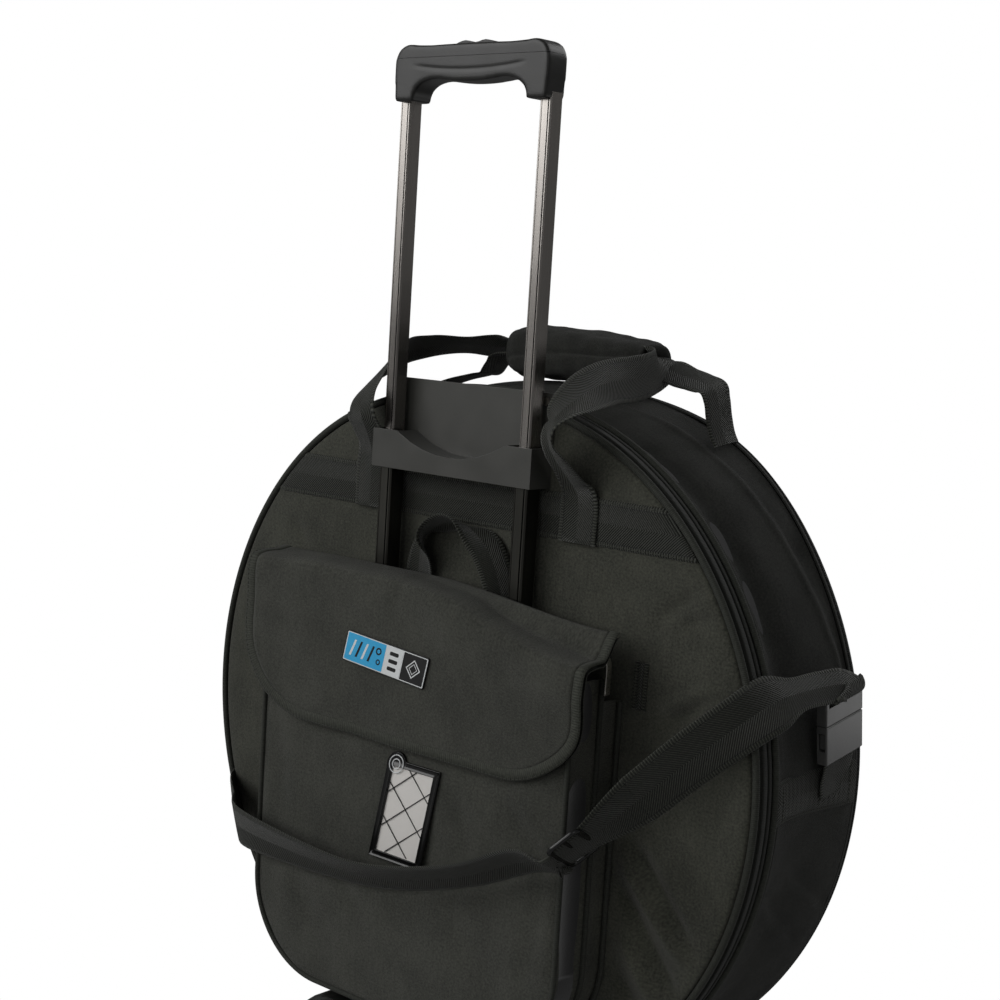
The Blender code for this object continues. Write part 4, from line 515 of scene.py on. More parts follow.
cloth = makePackCloth("pack cloth", "#2b2c25", "#535449")
pocketCloth = makePackCloth("pocket cloth", "#2e2f29", "#52534b")
# A darker copy of the pack cloth with less sheen: painted shade for the main band and the handle wrap.
shadedPackCloth = makePackCloth("band cloth", "#191a17", "#33342f", sheen=0.08)
webbing = {}
for millimetres in (46, 40, 36, 34, 14):
    title = f"webbing {millimetres} mm"
    webbing[millimetres] = makeWebbing(title, millimetres / 1000, "#12140f", "#44463e")
tape = makeTape("binding tape", "#1b1d18", "#3f413a")
flapTape = makeTape("flap binding tape", "#1e201b", "#4c4e45", 0.0022)
zipTape = makeTape("zip tape", "#121310", "#292b26", 0.0013)
lining = makeLining("brushed lining", "#141414", "#2c2c2d")
board = makeBoard("fluted board", "#3a3835", "#55524e")
moulded = makePlastic("moulded plastic", "#181817", "#282826", 0.38)
satin = makePlastic("satin plastic", "#393936", "#4b4b47", 0.40, 0.0009)
# The buckles' black plastic is made mid-grey: painted sheen standing in for its bright highlights.
buckleSheenGrey = makePlastic("satin buckle plastic", "#3a3a39", "#565655", 0.24, 0.0009, 0.00003)
nylon = makePlastic("nylon", "#151515", "#252524", 0.45)
anodised = makeAnodised("drawn anodised tube", "#8d8985", "#b4afaa", 0.26, 0.0033)
blackAnodised = makeAnodised("black anodised tube", "#3a3a37", "#565550", 0.34, 0.0042)
steel = makeSteel("zinc plated steel", "#c9c5bd", 0.30)
rubber = makePlastic("rubber", "#181818", "#272726", 0.62, 0.0014, 0.00012)
glossy = makePlastic("glossy black plastic", "#0f0f0f", "#1c1c1c", 0.22, 0.002, 0.00001)
labelWhite = makePlastic("label white", "#dfe3e4", "#eef0f0", 0.45, 0.002, 0.00001)
labelBlue = makePlastic("label blue", "#2fa9e0", "#4cb9ea", 0.42, 0.002, 0.00001)
labelBlack = makePlastic("label black", "#0e0e0f", "#1b1b1c", 0.42, 0.002, 0.00001)
card = makePlastic("name card", "#e2ded9", "#eceae6", 0.55, 0.003, 0.00001)
thread = makeTape("stitching thread", "#262823", "#55574e", 0.0006)


# The case: panels, bands, pipings and zips

ringSteps = 360
ringAngles = 2 * math.pi * np.arange(ringSteps) / ringSteps

# Folds of the front panel: start and end right of and above the middle, width, and height
# towards the viewer.
panelFolds = (
    ((0.196, -0.066), (0.266, -0.136), 0.0085, 0.0075),
    ((0.206, -0.050), (0.266, -0.118), 0.0070, -0.0062),
    ((0.200, -0.094), (0.256, -0.164), 0.0075, -0.0064),
    ((0.200, -0.130), (0.238, -0.180), 0.0095, 0.0058),
    ((0.202, -0.165), (0.230, -0.207), 0.0080, -0.0045),
    ((0.272, 0.094), (0.226, 0.068), 0.0060, 0.0030),
    ((0.270, 0.082), (0.232, 0.056), 0.0055, -0.0032),
    ((0.254, 0.171), (0.214, 0.140), 0.0060, -0.0034),
    ((0.268, 0.151), (0.239, 0.139), 0.0045, -0.0028),
    ((-0.222, 0.166), (-0.205, 0.140), 0.0080, -0.0022),
    ((-0.252, 0.118), (-0.225, 0.105), 0.0070, -0.0016),
)
frontPanel = {"grid": 220, "pillow": 0.0008, "rimReach": 0.020, "rimDrop": 0.0042, "uneven": 0.0006}


# Where a fold rises and dies away, from its start and from its end.
foldRise, foldFall = (-0.012, 0.018), (-0.018, 0.014)


def foldHeights(x, z, folds):
    total = np.zeros_like(x)
    for start, end, width, height in folds:
        run = np.array(end) - np.array(start)
        length = np.linalg.norm(run)
        along = ((x - start[0]) * run[0] + (z - start[1]) * run[1]) / length
        aside = ((x - start[0]) * run[1] - (z - start[1]) * run[0]) / length
        ends = smoothStep(along, *foldRise) * (1 - smoothStep(along - length, *foldFall))
        total += height * np.exp(-((aside / width) ** 2)) * ends
    return total


# A square grid pressed into the case's round outline: its radii and angles.
def discGrid(radius, count):
    side = np.linspace(-1, 1, count)
    u, v = np.meshgrid(side, side, indexing="ij")
    x = u * np.sqrt(1 - v * v / 2)
    z = v * np.sqrt(1 - u * u / 2)
    return radius * np.hypot(x, z), np.arctan2(z, x)


def rimOf(points):
    return np.concatenate([points[:-1, 0], points[-1, :-1], points[:0:-1, -1], points[0, :0:-1]])


# How far a padded panel stands proud of its flat face, at places right of and above the middle.
def panelLift(x, z, radii, radius=None, settings=frontPanel, folds=panelFolds, seed=3):
    radius = radius or panelRadius
    places = np.stack([x, 0 * x, z], -1)
    inset = np.maximum(radius - radii, 0)
    lift = settings["pillow"] * (1 - (radii / radius) ** 2)
    lift -= settings["rimDrop"] * (1 - np.sqrt(np.clip(inset / settings["rimReach"], 0, 1))) ** 2
    calm = smoothStep(inset, 0, 0.03)
    lift += settings["uneven"] * unevenness(places, 0.13, seed) * calm
    lift += 0.35 * settings["uneven"] * unevenness(places, 0.045, seed + 1) * calm
    return lift + foldHeights(x, z, folds)


# A padded panel: its sewn face, the edge that turns back into the seam, and its plain inside.
def addPanel(parts, radius, front, back, settings, folds=(), facing=-1, seed=3):
    radii, angles = discGrid(radius, settings["grid"])
    flat = casePoints(radii, angles, np.full_like(radii, front))
    x, z = flat[..., 0] - caseX, flat[..., 2] - centreZ
    lift = panelLift(x, z, radii, radius, settings, folds, seed)
    face = flat.copy()
    face[..., 1] += facing * lift
    cloths = np.stack([flat[..., 0], flat[..., 2]], -1)
    parts.grid(face, cloths, 0, flip=facing < 0)
    rim = rimOf(face)
    inner = rim.copy()
    inner[:, 1] = back
    edge = np.stack([rim, inner], 1)
    parts.grid(edge, clothOf(edge, ring=True), 0, ring=True, flip=facing > 0)
    coarse, turned = discGrid(radius, settings["grid"])
    rear = casePoints(coarse, turned, np.full_like(coarse, back))
    parts.grid(rear, cloths, 1, flip=facing > 0)
    return face


def buildFrontPanel():
    parts = Patchwork()
    addPanel(parts, panelRadius, faceY, panelHigh[1], frontPanel, panelFolds)
    obj = parts.build("frontPanel", [cloth, lining])
    finishPiece(obj, "case", ["front_panel"])


# A ring swept round the case from a closed section of radii and depths.
def addRing(parts, radii, depths, slot=0, closed=True, waves=0.0, seed=1, flip=False):
    angles = ringAngles[:, None]
    points = casePoints(np.asarray(radii)[None], angles, np.asarray(depths)[None])
    if waves:
        outward = unit(np.stack([np.cos(angles), 0 * angles, np.sin(angles)], -1))
        points = points + outward * (waves * unevenness(points, 0.06, seed))[..., None]
    parts.grid(points, clothOf(points, ring=True, tube=closed), slot, ring=True, tube=closed, flip=flip)
    return points


def ringCord(parts, radius, y, cordRadius, slot=0, sides=12):
    turn = 2 * math.pi * np.arange(sides) / sides
    addRing(parts, radius + cordRadius * np.cos(turn), y + cordRadius * np.sin(turn), slot)


# Piping: a cord in a fold of tape, with the tape's flange tucked into the seam beside it.
pipingShares = {"cord": 0.86, "flange": 0.35}


def buildPiping(name, node, radius, y, body, flange, reach=0.002):
    parts = Patchwork()
    ringCord(parts, radius, y, shell["piping"] * pipingShares["cord"])
    low, high = radius - reach, radius + shell["piping"] * pipingShares["flange"]
    near, far = sorted((y, y + flange))
    addRing(parts, [low, high, high, low], [near, near, far, far])
    obj = parts.build(name, [tape])
    finishPiece(obj, body, [node])


# The main wall: it sinks to a waist and swells again, with a valley beside the front zip, a seam,
# dents under the strap and soft folds. Places are degrees from the right and shares of the depth.
mainWall = {
    "columns": 64,
    "rimLength": 2.04,
    "depth": 0.112,
    "foldWidth": 0.006,
    "foldGap": 0.009,
    "uneven": ((0.0011, 0.10, 21), (0.0005, 0.035, 22)),
    "valley": (46.0, 34.0, 0.24, 0.14, 0.0085),
    "seamPlaces": ((0, 1.02), (12, 0.93), (30, 0.80), (48, 0.70), (70, 0.64), (90, 0.62)),
    "seamRise": 0.0016,
    "seamDrop": 0.0022,
    "sink": ((0.0, 0.0), (0.14, 0.8), (0.40, 1.0), (0.72, 0.35), (1.0, 0.0)),
    "seamWidthShare": 0.028,
    "dents": (
        (200.5, 0.10, 8.0, 0.24, 0.0065),
        (12.5, 0.05, 7.0, 0.20, 0.0035),
        (352.0, 0.55, 9.0, 0.30, 0.0030),
    ),
    "folds": (
        (348.0, 0.35, 340.0, 0.95, 0.0022),
        (344.0, 0.15, 333.0, 0.80, 0.0020),
        (188.0, 0.2, 176.0, 0.9, 0.0018),
    ),
}


def wallRadius(angle, share):
    places, sinks = zip(*mainWall["sink"])
    aside = np.interp(share - 0.07, places, sinks) + np.interp(share + 0.07, places, sinks)
    sink = 0.5 * np.interp(share, places, sinks) + 0.25 * aside
    sink *= smoothStep(share, 0, 0.06) * (1 - smoothStep(share, 0.94, 1))
    level = np.degrees(np.minimum(abs(angle - math.pi), np.minimum(abs(angle), abs(angle - 2 * math.pi))))
    sink = sink * (1 - 0.45 * np.exp(-((level / 9) ** 2)))
    return shell["caseRadius"] + shell["rearGrowth"] * share - shell["waist"] * sink


def angleGap(angle, place):
    return (angle - place + 180) % 360 - 180


def wallRelief(angle, share):
    degrees = np.degrees(angle)
    relief = np.zeros(np.broadcast(degrees, share).shape)
    place, reach, depthPlace, depthReach, depth = mainWall["valley"]
    aside = (angleGap(degrees, place) / reach) ** 4 + ((share - depthPlace) / depthReach) ** 2
    relief -= depth * np.exp(-aside)
    turns, places = zip(*mainWall["seamPlaces"])
    past = share - np.interp(degrees, turns, places)
    seen = smoothStep(degrees, 4, 20) * (1 - smoothStep(degrees, 62, 84))
    relief += mainWall["seamRise"] * np.exp(-((past / mainWall["seamWidthShare"]) ** 2)) * seen
    relief -= mainWall["seamDrop"] * smoothStep(past, 0.02, 0.09) * seen
    for place, depthPlace, reach, depthReach, depth in mainWall["dents"]:
        aside = (angleGap(degrees, place) / reach) ** 2 + ((share - depthPlace) / depthReach) ** 2
        relief -= depth * np.exp(-aside)
    perDegree, depth = mainWall["rimLength"] / 360, mainWall["depth"]
    width, gap = mainWall["foldWidth"], mainWall["foldGap"]
    for fromPlace, fromShare, toPlace, toShare, height in mainWall["folds"]:
        run = np.array([(toPlace - fromPlace) * perDegree, (toShare - fromShare) * depth])
        length = np.linalg.norm(run)
        x, y = angleGap(degrees, fromPlace) * perDegree, (share - fromShare) * depth
        along = (x * run[0] + y * run[1]) / length
        aside = (x * run[1] - y * run[0]) / length
        ends = smoothStep(along, -0.01, 0.02) * (1 - smoothStep(along, length - 0.02, length + 0.01))
        relief += height * np.exp(-((aside / width) ** 2)) * ends
        relief -= 0.8 * height * np.exp(-(((aside - gap) / width) ** 2)) * ends
    return relief


def buildMainBand():
    parts = Patchwork()
    shares = np.linspace(0, 1, mainWall["columns"])[None]
    angles = ringAngles[:, None]
    radii = wallRadius(angles, shares) + wallRelief(angles, shares)
    depths = bandLow[1] + (bandHigh[1] - bandLow[1]) * shares
    outer = casePoints(radii, angles, depths)
    outward = np.stack([np.cos(angles), 0 * angles, np.sin(angles)], -1)
    calm = smoothStep(shares, 0, 0.1) * (1 - smoothStep(shares, 0.9, 1))
    rough = sum(height * unevenness(outer, size, seed) for height, size, seed in mainWall["uneven"])
    outer = outer + outward * (rough * calm)[..., None]
    inner = casePoints(liningRadius, angles, depths)
    parts.grid(outer, clothOf(outer, ring=True), 0, ring=True)
    parts.grid(inner, clothOf(inner, ring=True), 1, ring=True, flip=True)
    for end, turned in ((0, True), (-1, False)):
        wall = np.stack([outer[:, end], inner[:, end]], 1)
        parts.grid(wall, clothOf(wall, ring=True), 0, ring=True, flip=turned)
    obj = parts.build("mainBand", [shadedPackCloth, lining])
    finishPiece(obj, "case", ["main_band"])


frontBandShape = {"rounding": 0.0012, "drop": 0.0010}


def buildFrontBand():
    parts = Patchwork()
    low, high = frontBandLow[1], frontBandHigh[1]
    top = shell["frontBandRadius"]
    inner, rounding = liningRadius, frontBandShape["rounding"]
    side = top - frontBandShape["drop"]
    depths = [low, low, low + rounding, (low + high) / 2, high - rounding, high, high]
    radii = [inner, side, top, top, top, side, inner]
    addRing(parts, radii, depths)
    obj = parts.build("frontBand", [zipTape])
    finishPiece(obj, "case", ["front_band"])


# A small node tree that sets copies of a bar along a path.
def makeRepeater(name):
    tree = bpy.data.node_groups.new(name, "GeometryNodeTree")
    sockets = {}
    for title, kind in (
        ("Geometry", "NodeSocketGeometry"),
        ("Piece", "NodeSocketObject"),
        ("Pitch", "NodeSocketFloat"),
        ("Material", "NodeSocketMaterial"),
    ):
        sockets[title] = tree.interface.new_socket(title, in_out="INPUT", socket_type=kind).identifier
    tree.interface.new_socket("Geometry", in_out="OUTPUT", socket_type="NodeSocketGeometry")
    start = tree.nodes.new("NodeGroupInput").outputs
    curve = addNode(tree, "GeometryNodeMeshToCurve", {"Mesh": start["Geometry"]})
    inputs = {"Curve": curve.outputs[0], "Length": start["Pitch"]}
    spaced = addNode(tree, "GeometryNodeResampleCurve", inputs, mode="LENGTH")
    piece = addNode(tree, "GeometryNodeObjectInfo", {"Object": start["Piece"]})
    tangent = addNode(tree, "GeometryNodeInputTangent")
    turned = addNode(
        tree, "FunctionNodeAlignRotationToVector", {"Vector": tangent.outputs[0]}, axis="X", pivot_axis="AUTO"
    )
    facing = addNode(tree, "GeometryNodeInputNormal")
    turned = addNode(
        tree,
        "FunctionNodeAlignRotationToVector",
        {"Rotation": turned.outputs[0], "Vector": facing.outputs[0]},
        axis="Z",
        pivot_axis="X",
    )
    placed = addNode(
        tree,
        "GeometryNodeInstanceOnPoints",
        {"Points": spaced.outputs[0], "Instance": piece.outputs["Geometry"], "Rotation": turned.outputs[0]},
    )
    real = addNode(tree, "GeometryNodeRealizeInstances", {"Geometry": placed.outputs[0]})
    done = addNode(
        tree, "GeometryNodeSetMaterial", {"Geometry": real.outputs[0], "Material": start["Material"]}
    )
    finish = tree.nodes.new("NodeGroupOutput")
    tree.links.new(done.outputs[0], finish.inputs[0])
    return tree, sockets


repeater, repeaterSockets = makeRepeater("repeat along a path")


# A small rounded bar, longer along X: a stitch, or with other sizes a turn of the zip's coil.
def makeBar(name, length, width, height):
    mesh = bmesh.new()
    bmesh.ops.create_cube(mesh, size=1.0)
    bmesh.ops.scale(mesh, vec=(length, width, height), verts=mesh.verts)
    bmesh.ops.bevel(mesh, geom=mesh.edges[:], offset=min(width, height) * 0.3, segments=1, affect="EDGES")
    obj = newObject(name, mesh, [])
    obj.hide_render = True
    obj.hide_viewport = True
    return obj


stitchBar = makeBar("stitchBar", 0.0026, 0.0007, 0.0006)
coilBar = makeBar("coilBar", 0.0009, 0.0042, 0.0014)


# Copies of a bar along open or closed paths, as one settled object.
def repeatAlong(name, paths, bar, pitch, material, ring=False):
    points, edges = [], []
    for path in paths:
        first = len(points)
        points += [tuple(p) for p in path]
        edges += [(first + i, first + i + 1) for i in range(len(path) - 1)]
        if ring:
            edges.append((len(points) - 1, first))
    mesh = bpy.data.meshes.new(name)
    mesh.from_pydata(points, edges, [])
    obj = bpy.data.objects.new(name, mesh)
    bpy.context.scene.collection.objects.link(obj)
    modifier = obj.modifiers.new("repeat", "NODES")
    modifier.node_group = repeater
    modifier[repeaterSockets["Piece"]] = bar
    modifier[repeaterSockets["Pitch"]] = pitch
    modifier[repeaterSockets["Material"]] = material
    bpy.context.view_layer.update()
    return settle(obj)


# A hidden-coil zip laid round the case: two tapes that meet in a dark groove, and the coil in it.
zipShape = {
    "groove": 0.0009,
    "foot": 0.002,
    "crown": 0.0014,
    "lip": 0.0019,
    "edge": 0.0006,
    "coilSink": 0.0002,
    "coilPitch": 0.0018,
}


def buildZip(name, node, radius, y, width):
    parts = Patchwork()
    edge = zipShape["edge"]
    foot, crown, lip = radius - zipShape["foot"], radius + zipShape["crown"], radius + zipShape["lip"]
    for turn in (-1, 1):
        low, high = sorted((y + turn * width / 2, y + turn * zipShape["groove"]))
        first, second = (crown, lip) if turn < 0 else (lip, crown)
        addRing(parts, [foot, crown, first, second, foot], [low, low, low + edge, high - edge, high])
    obj = parts.build(name, [zipTape])
    coil = casePoints(radius - zipShape["coilSink"], ringAngles, y)
    teeth = repeatAlong(f"{name}Coil", [coil], coilBar, zipShape["coilPitch"], nylon, ring=True)
    finishPiece(obj, "case", [node])
    finishPiece(teeth, "case", [])


def buildZips():
    low, high = extent("front_zip")
    radius = shell["frontBandRadius"] + shell["seam"]
    buildZip("frontZip", "front_zip", radius, (low[1] + high[1]) / 2, shell["frontZipWidth"])
    low, high = extent("rear_zip")
    radius = shell["caseRadius"] + shell["rearGrowth"] - shell["rearZipInset"]
    parts = Patchwork()
    addRing(parts, [liningRadius, radius, radius, liningRadius], [low[1], low[1], high[1], high[1]])
    base = parts.build("rearZipBase", [zipTape])
    finishPiece(base, "case", [])
    buildZip("rearZip", "rear_zip", radius, (low[1] + high[1]) / 2, high[1] - low[1])


# The rear panel: a padded disc that opens with its piping, which a flange joins to its edge.
rearPanel = {
    "grid": 160,
    "pillow": 0.0030,
    "rimReach": 0.030,
    "rimDrop": 0.0030,
    "uneven": 0.0010,
    "flange": -0.0015,
    "reach": 0.0062,
}


def buildLid():
    parts = Patchwork()
    radius = (lidHigh[0] - lidLow[0]) / 2
    low, high = extent("rear_piping")
    addPanel(parts, radius, lidHigh[1], lidLow[1], rearPanel, (), 1, 31)
    obj = parts.build("backPanel", [cloth, lining])
    finishPiece(obj, "lid", ["back_panel"])
    pipingRadius = radius + shell["rearPipingGap"]
    flange, reach = rearPanel["flange"], rearPanel["reach"]
    buildPiping("rearPiping", "rear_piping", pipingRadius, (low[1] + high[1]) / 2, "lid", flange, reach)


innerPad = {"grid": 90, "pillow": 0.0, "rimReach": 0.012, "rimDrop": 0.0022, "uneven": 0.0003}


def buildInnerPads():
    for name, node in (("frontPadding", "front_padding"), ("paddedDivider", "padded_divider")):
        low, high = extent(node)
        parts = Patchwork()
        radius = (high[0] - low[0]) / 2
        middle = (low[1] + high[1]) / 2
        for front, facing in ((low[1], -1), (high[1], 1)):
            addPanel(parts, radius, front, middle, innerPad, (), facing, 41)
        obj = parts.build(name, [lining, lining])
        finishPiece(obj, "case", [node])


# The pocket

pocket = {
    "halfWidth": 0.182,
    "corner": 0.085,
    "wall": 0.0025,
    "frontY": pocketLow[1],
    "backY": pocketLow[1] + 0.042,
    "baseZ": pocketLow[2],
    "topZ": centreZ + 0.124,
    "wingTop": centreZ + 0.100,
    "edge": 0.010,
    "liningGap": 0.004,
    "backDrop": 0.0036,
    "gussetStart": 0.0044,
    "gussetSink": 0.0045,
    "kinkHeight": 0.030,
    "kinkReach": 0.026,
    "kinkSink": 0.0025,
    "pipingRadius": 0.0024,
    "wingStart": 0.0955,
    "wingPipingStart": 0.0975,
    "wingSink": 0.003,
    "rimDip": 0.0032,
    "broadDip": (0.0014, 0.045),
    "soft": (0.0013, 0.10, 51),
    "fine": (0.0004, 0.035, 52),
    "frontPiping": (0.0036, 0.0006),
    "backPiping": (-0.0010, 0.0010),
    "wingPipingLift": 0.0022,
}

# How far the soft top corners of the pocket and of its flap hang down: amount and places aside,
# then the heights between which the hang sets in.
sag = {
    "right": (0.036, -0.010, 0.190),
    "left": (0.003, 0.120, 0.190),
    "pocketHeights": (-0.02, 0.124),
    "flapHeights": (0.0, 0.13),
}


def cornerDroop(x, z, heights):
    amount, start, end = sag["right"]
    right = amount * smoothStep(x, start, end)
    amount, start, end = sag["left"]
    left = amount * smoothStep(-x, start, end)
    return (right + left) * smoothStep(z, *heights)


def droopCorners(parts):
    for points in parts.points:
        points[:, 2] -= cornerDroop(points[:, 0] - caseX, points[:, 2] - centreZ, sag["pocketHeights"])


# The pocket's half width at a height, and the heights of a grid's rows from the top down.
def pocketHalf(z, inset=0.0):
    corner = pocket["corner"] - inset
    drop = np.clip(pocket["baseZ"] + inset + corner - z, 0, corner)
    return pocket["halfWidth"] - inset - corner + np.sqrt(np.maximum(corner**2 - drop**2, 0))


def pocketRows(top, inset=0.0, straight=60, bend=40):
    base = pocket["baseZ"] + inset
    corner = pocket["corner"] - inset
    turn = np.linspace(0, math.pi / 2, bend)[1:]
    return np.concatenate([np.linspace(top, base + corner, straight), base + corner * (1 - np.sin(turn))])


# The outline from the top right, round the bottom, to the top left.
def pocketPath(top, inset=0.0, straight=60, bend=28, level=50):
    rows = pocketRows(top, inset, straight, bend)
    right = np.stack([pocketHalf(rows, inset), rows], 1)
    low = np.linspace(right[-1, 0], -right[-1, 0], level)[1:-1]
    bottom = np.stack([low, np.full_like(low, rows[-1])], 1)
    left = right[::-1] * np.array([-1, 1])
    return np.concatenate([right, bottom, left])


def pocketRelief(x, z):
    points = np.stack([x, np.zeros_like(x), z], -1)
    inset = np.minimum(pocketHalf(z + centreZ) - abs(x), z + centreZ - pocket["baseZ"])
    edge = smoothStep(inset, 0, pocket["edge"])
    broad, reach = pocket["broadDip"]
    dip = pocket["rimDip"] * (1 - edge) + broad * (1 - smoothStep(inset, 0, reach))
    height, size, seed = pocket["soft"]
    soft = height * (1 - unevenness(points, size, seed)) * edge
    height, size, seed = pocket["fine"]
    soft = soft + height * unevenness(points, size, seed)
    return dip + np.maximum(soft, 0) - foldHeights(x, z, pocketFolds)


pocketFolds = (
    ((0.120, -0.020), (0.165, -0.070), 0.008, -0.0020),
    ((0.060, -0.015), (0.085, -0.085), 0.011, -0.0017),
    ((0.030, 0.000), (0.120, -0.055), 0.010, 0.0014),
    ((-0.140, -0.140), (-0.100, -0.190), 0.012, -0.0020),
    ((-0.085, -0.120), (-0.045, -0.165), 0.010, -0.0022),
    ((-0.020, -0.125), (-0.048, -0.170), 0.011, -0.0018),
    ((0.060, -0.130), (0.130, -0.190), 0.016, -0.0020),
    ((-0.165, 0.010), (-0.150, -0.090), 0.010, -0.0014),
    ((0.168, -0.080), (0.150, -0.170), 0.010, -0.0020),
)


def pocketFace(top, y, inset, columns, relief=False):
    rows = pocketRows(top, inset)
    share = np.linspace(-1, 1, columns)
    z = np.repeat(rows[:, None], columns, 1)
    x = share[None] * pocketHalf(z, inset)
    depth = y + (pocketRelief(x, z - centreZ) if relief else 0 * x)
    points = np.stack([caseX + x, depth, z], -1)
    cloths = np.stack([x, z], -1)
    return points, cloths


def buildPocket():
    parts = Patchwork()
    front, back, wall = pocket["frontY"], pocket["backY"], pocket["wall"]
    top, innerFront, innerBack = pocket["topZ"], front + wall + pocket["liningGap"], back - wall
    points, cloths = pocketFace(top, front, 0.0, 90, relief=True)
    parts.grid(points, cloths, 0)
    points, cloths = pocketFace(top, innerFront, wall, 60)
    parts.grid(points, cloths, 2, flip=True)
    points, cloths = pocketFace(top, innerBack, wall, 60)
    parts.grid(points, cloths, 2)
    points, cloths = pocketFace(flapHigh[2] - pocket["backDrop"], back, 0.0, 60)
    parts.grid(points, cloths, 1, flip=True)
    path = pocketPath(top)
    outward = pathNormals(path)
    shares = np.linspace(0, 1, 22)
    depths = front + pocket["gussetStart"] + (back - front - pocket["gussetStart"]) * shares
    gusset = np.stack([loopAt(path, y) for y in depths], 1)
    waves = 0.75 + 0.4 * unevenness(gusset, 0.10, 55)
    sink = pocket["gussetSink"] * np.sin(math.pi * shares)[None] * waves
    below = gusset[..., 2] - centreZ + pocket["kinkHeight"]
    kink = np.exp(-((below / pocket["kinkReach"]) ** 2)) * (gusset[..., 0] > 0)
    sink = sink + pocket["kinkSink"] * kink * np.sin(math.pi * np.minimum(1, shares * 1.3))[None]
    gusset[..., 0] -= outward[:, None, 0] * sink
    gusset[..., 2] -= outward[:, None, 1] * sink
    parts.grid(gusset, clothOf(gusset), 1, flip=True)
    inner = pocketPath(top, wall)
    innerWall = np.stack([loopAt(inner, y) for y in (innerFront, innerBack)], 1)
    parts.grid(innerWall, clothOf(innerWall), 2)
    addPocketWings(parts, back)
    droopCorners(parts)
    obj = parts.build("pocketBody", [pocketCloth, cloth, lining])
    finishPiece(obj, "case", ["pocket_body"])
    buildPocketPipings(path, front, back)


# A path of the pocket's outline at a depth, as places.
def loopAt(path, y):
    return np.stack([caseX + path[:, 0], np.full(len(path), y), path[:, 1]], 1)


def pathNormals(path):
    along = unit(np.gradient(path, axis=0))
    return np.stack([-along[:, 1], along[:, 0]], 1)


# The side walls behind the pocket, down to the case's face on both sides of the tubes.
def addPocketWings(parts, back):
    path = pocketPath(pocket["wingTop"], 0.0, 50, 28)
    outward = pathNormals(path)
    half = len(path) // 2
    outside = path[:half, 0] > pocket["wingStart"]
    right, way = path[:half][outside], outward[:half][outside]
    shares = np.linspace(0, 1, 12)
    for side in (1, -1):
        for inset, turned in ((0.0, side > 0), (pocket["wall"], side < 0)):
            rings = []
            for share in shares:
                sink = pocket["wingSink"] * math.sin(math.pi * share) + inset
                flat = (right - way * sink) * (side, 1)
                rings.append(loopAt(flat, back + (faceY - back) * share))
            wall = np.stack(rings, 1)
            parts.grid(wall, clothOf(wall), 1, flip=turned)


def buildPocketPipings(path, front, back):
    parts = Patchwork()
    outward = pathNormals(path)
    radius = pocket["pipingRadius"]
    for face, (depth, lift) in ((front, pocket["frontPiping"]), (back, pocket["backPiping"])):
        addCord(parts, loopAt(path + outward * lift, face + depth), radius)
    wing = pocketPath(pocket["wingTop"], 0.0, 50, 28)
    outward = pathNormals(wing)
    half = len(wing) // 2
    outside = wing[:half, 0] > pocket["wingPipingStart"]
    flat = (wing[:half] + outward[:half] * pocket["wingPipingLift"])[outside]
    for side in (1, -1):
        addCord(parts, loopAt(flat * (side, 1), faceY - radius), radius)
    droopCorners(parts)
    obj = parts.build("pocketPiping", [tape])
    finishPiece(obj, "case", [])


# The flap: from its seam at the back of the pocket, over the ridge and down the front.

flap = {
    "thick": 0.003,
    "ridge": 0.020,
    "corner": 0.074,
    "taper": 0.045,
    "halfWidth": (flapHigh[0] - flapLow[0]) / 2,
    "pivotZ": flapHigh[2] - 0.0015,
    "backY": pocketLow[1] + 0.042 - 0.0015,
    "lowZ": flapLow[2],
    "frontY": flapLow[1] + 0.0015,
    "binding": 0.0100,
    "bindingProud": 0.0008,
    "leftTaperShare": 0.2,
    "ridgeDroopShare": 0.42,
    "uneven": ((0.0014, 0.10, 61), (0.0005, 0.04, 62)),
    "crease": 0.0012,
    "creaseWidth": 0.006,
    "ridgeDroop": 0.003,
    "bindingWrap": 0.0012,
    "stitchInset": 0.0014,
    "stitchPitch": 0.0042,
    "badgePlace": (-0.02, 0.0735),
    "badgeReach": (0.075, 0.035),
}


# The flap's middle line, back to front and down, as (y, z).
def flapLine():
    back, ridge, y, z = flap["backY"], flap["ridge"], flap["frontY"], flap["pivotZ"]
    crest = [(back, z), ((back + y + ridge) / 2, z), (y + ridge, z), (y + ridge / 3, z - ridge / 10)]
    crest += [(y + ridge / 12, z - ridge / 3), (y, z - ridge), (y, z - ridge - 0.02)]
    crest = smoothPath(crest, 6)
    low = flap["lowZ"]
    turn = np.linspace(0, math.pi / 2, 28)[1:]
    straight = np.linspace(crest[-1, 1], low + flap["corner"], 26)[1:]
    bend = low + flap["corner"] * (1 - np.sin(turn))
    fall = np.concatenate([straight, bend])
    return np.concatenate([crest, np.stack([np.full_like(fall, y), fall], 1)])


def flapHalf(z):
    drop = np.clip(flap["lowZ"] + flap["corner"] - z, 0, flap["corner"])
    return flap["halfWidth"] - flap["corner"] + np.sqrt(np.maximum(flap["corner"] ** 2 - drop**2, 0))


def flapRelief(points):
    x, z = points[..., 0] - caseX, points[..., 2] - centreZ
    relief = sum(height * unevenness(points, size, seed) for height, size, seed in flap["uneven"])
    crease = (x + 0.02 - 0.25 * (z - 0.1)) / flap["creaseWidth"]
    relief -= flap["crease"] * np.exp(-(crease**2)) * smoothStep(z, 0.085, 0.12)
    (badgeX, badgeZ), (reachX, reachZ) = flap["badgePlace"], flap["badgeReach"]
    badge = ((x - badgeX) / reachX) ** 2 + ((z - badgeZ) / reachZ) ** 2
    relief = relief * (1 - np.exp(-(badge**2)))
    droop = flap["ridgeDroop"] * smoothStep(z, 0.09, 0.14) * smoothStep(x, -0.05, 0.19)
    return relief, droop + cornerDroop(x, z, sag["flapHeights"])


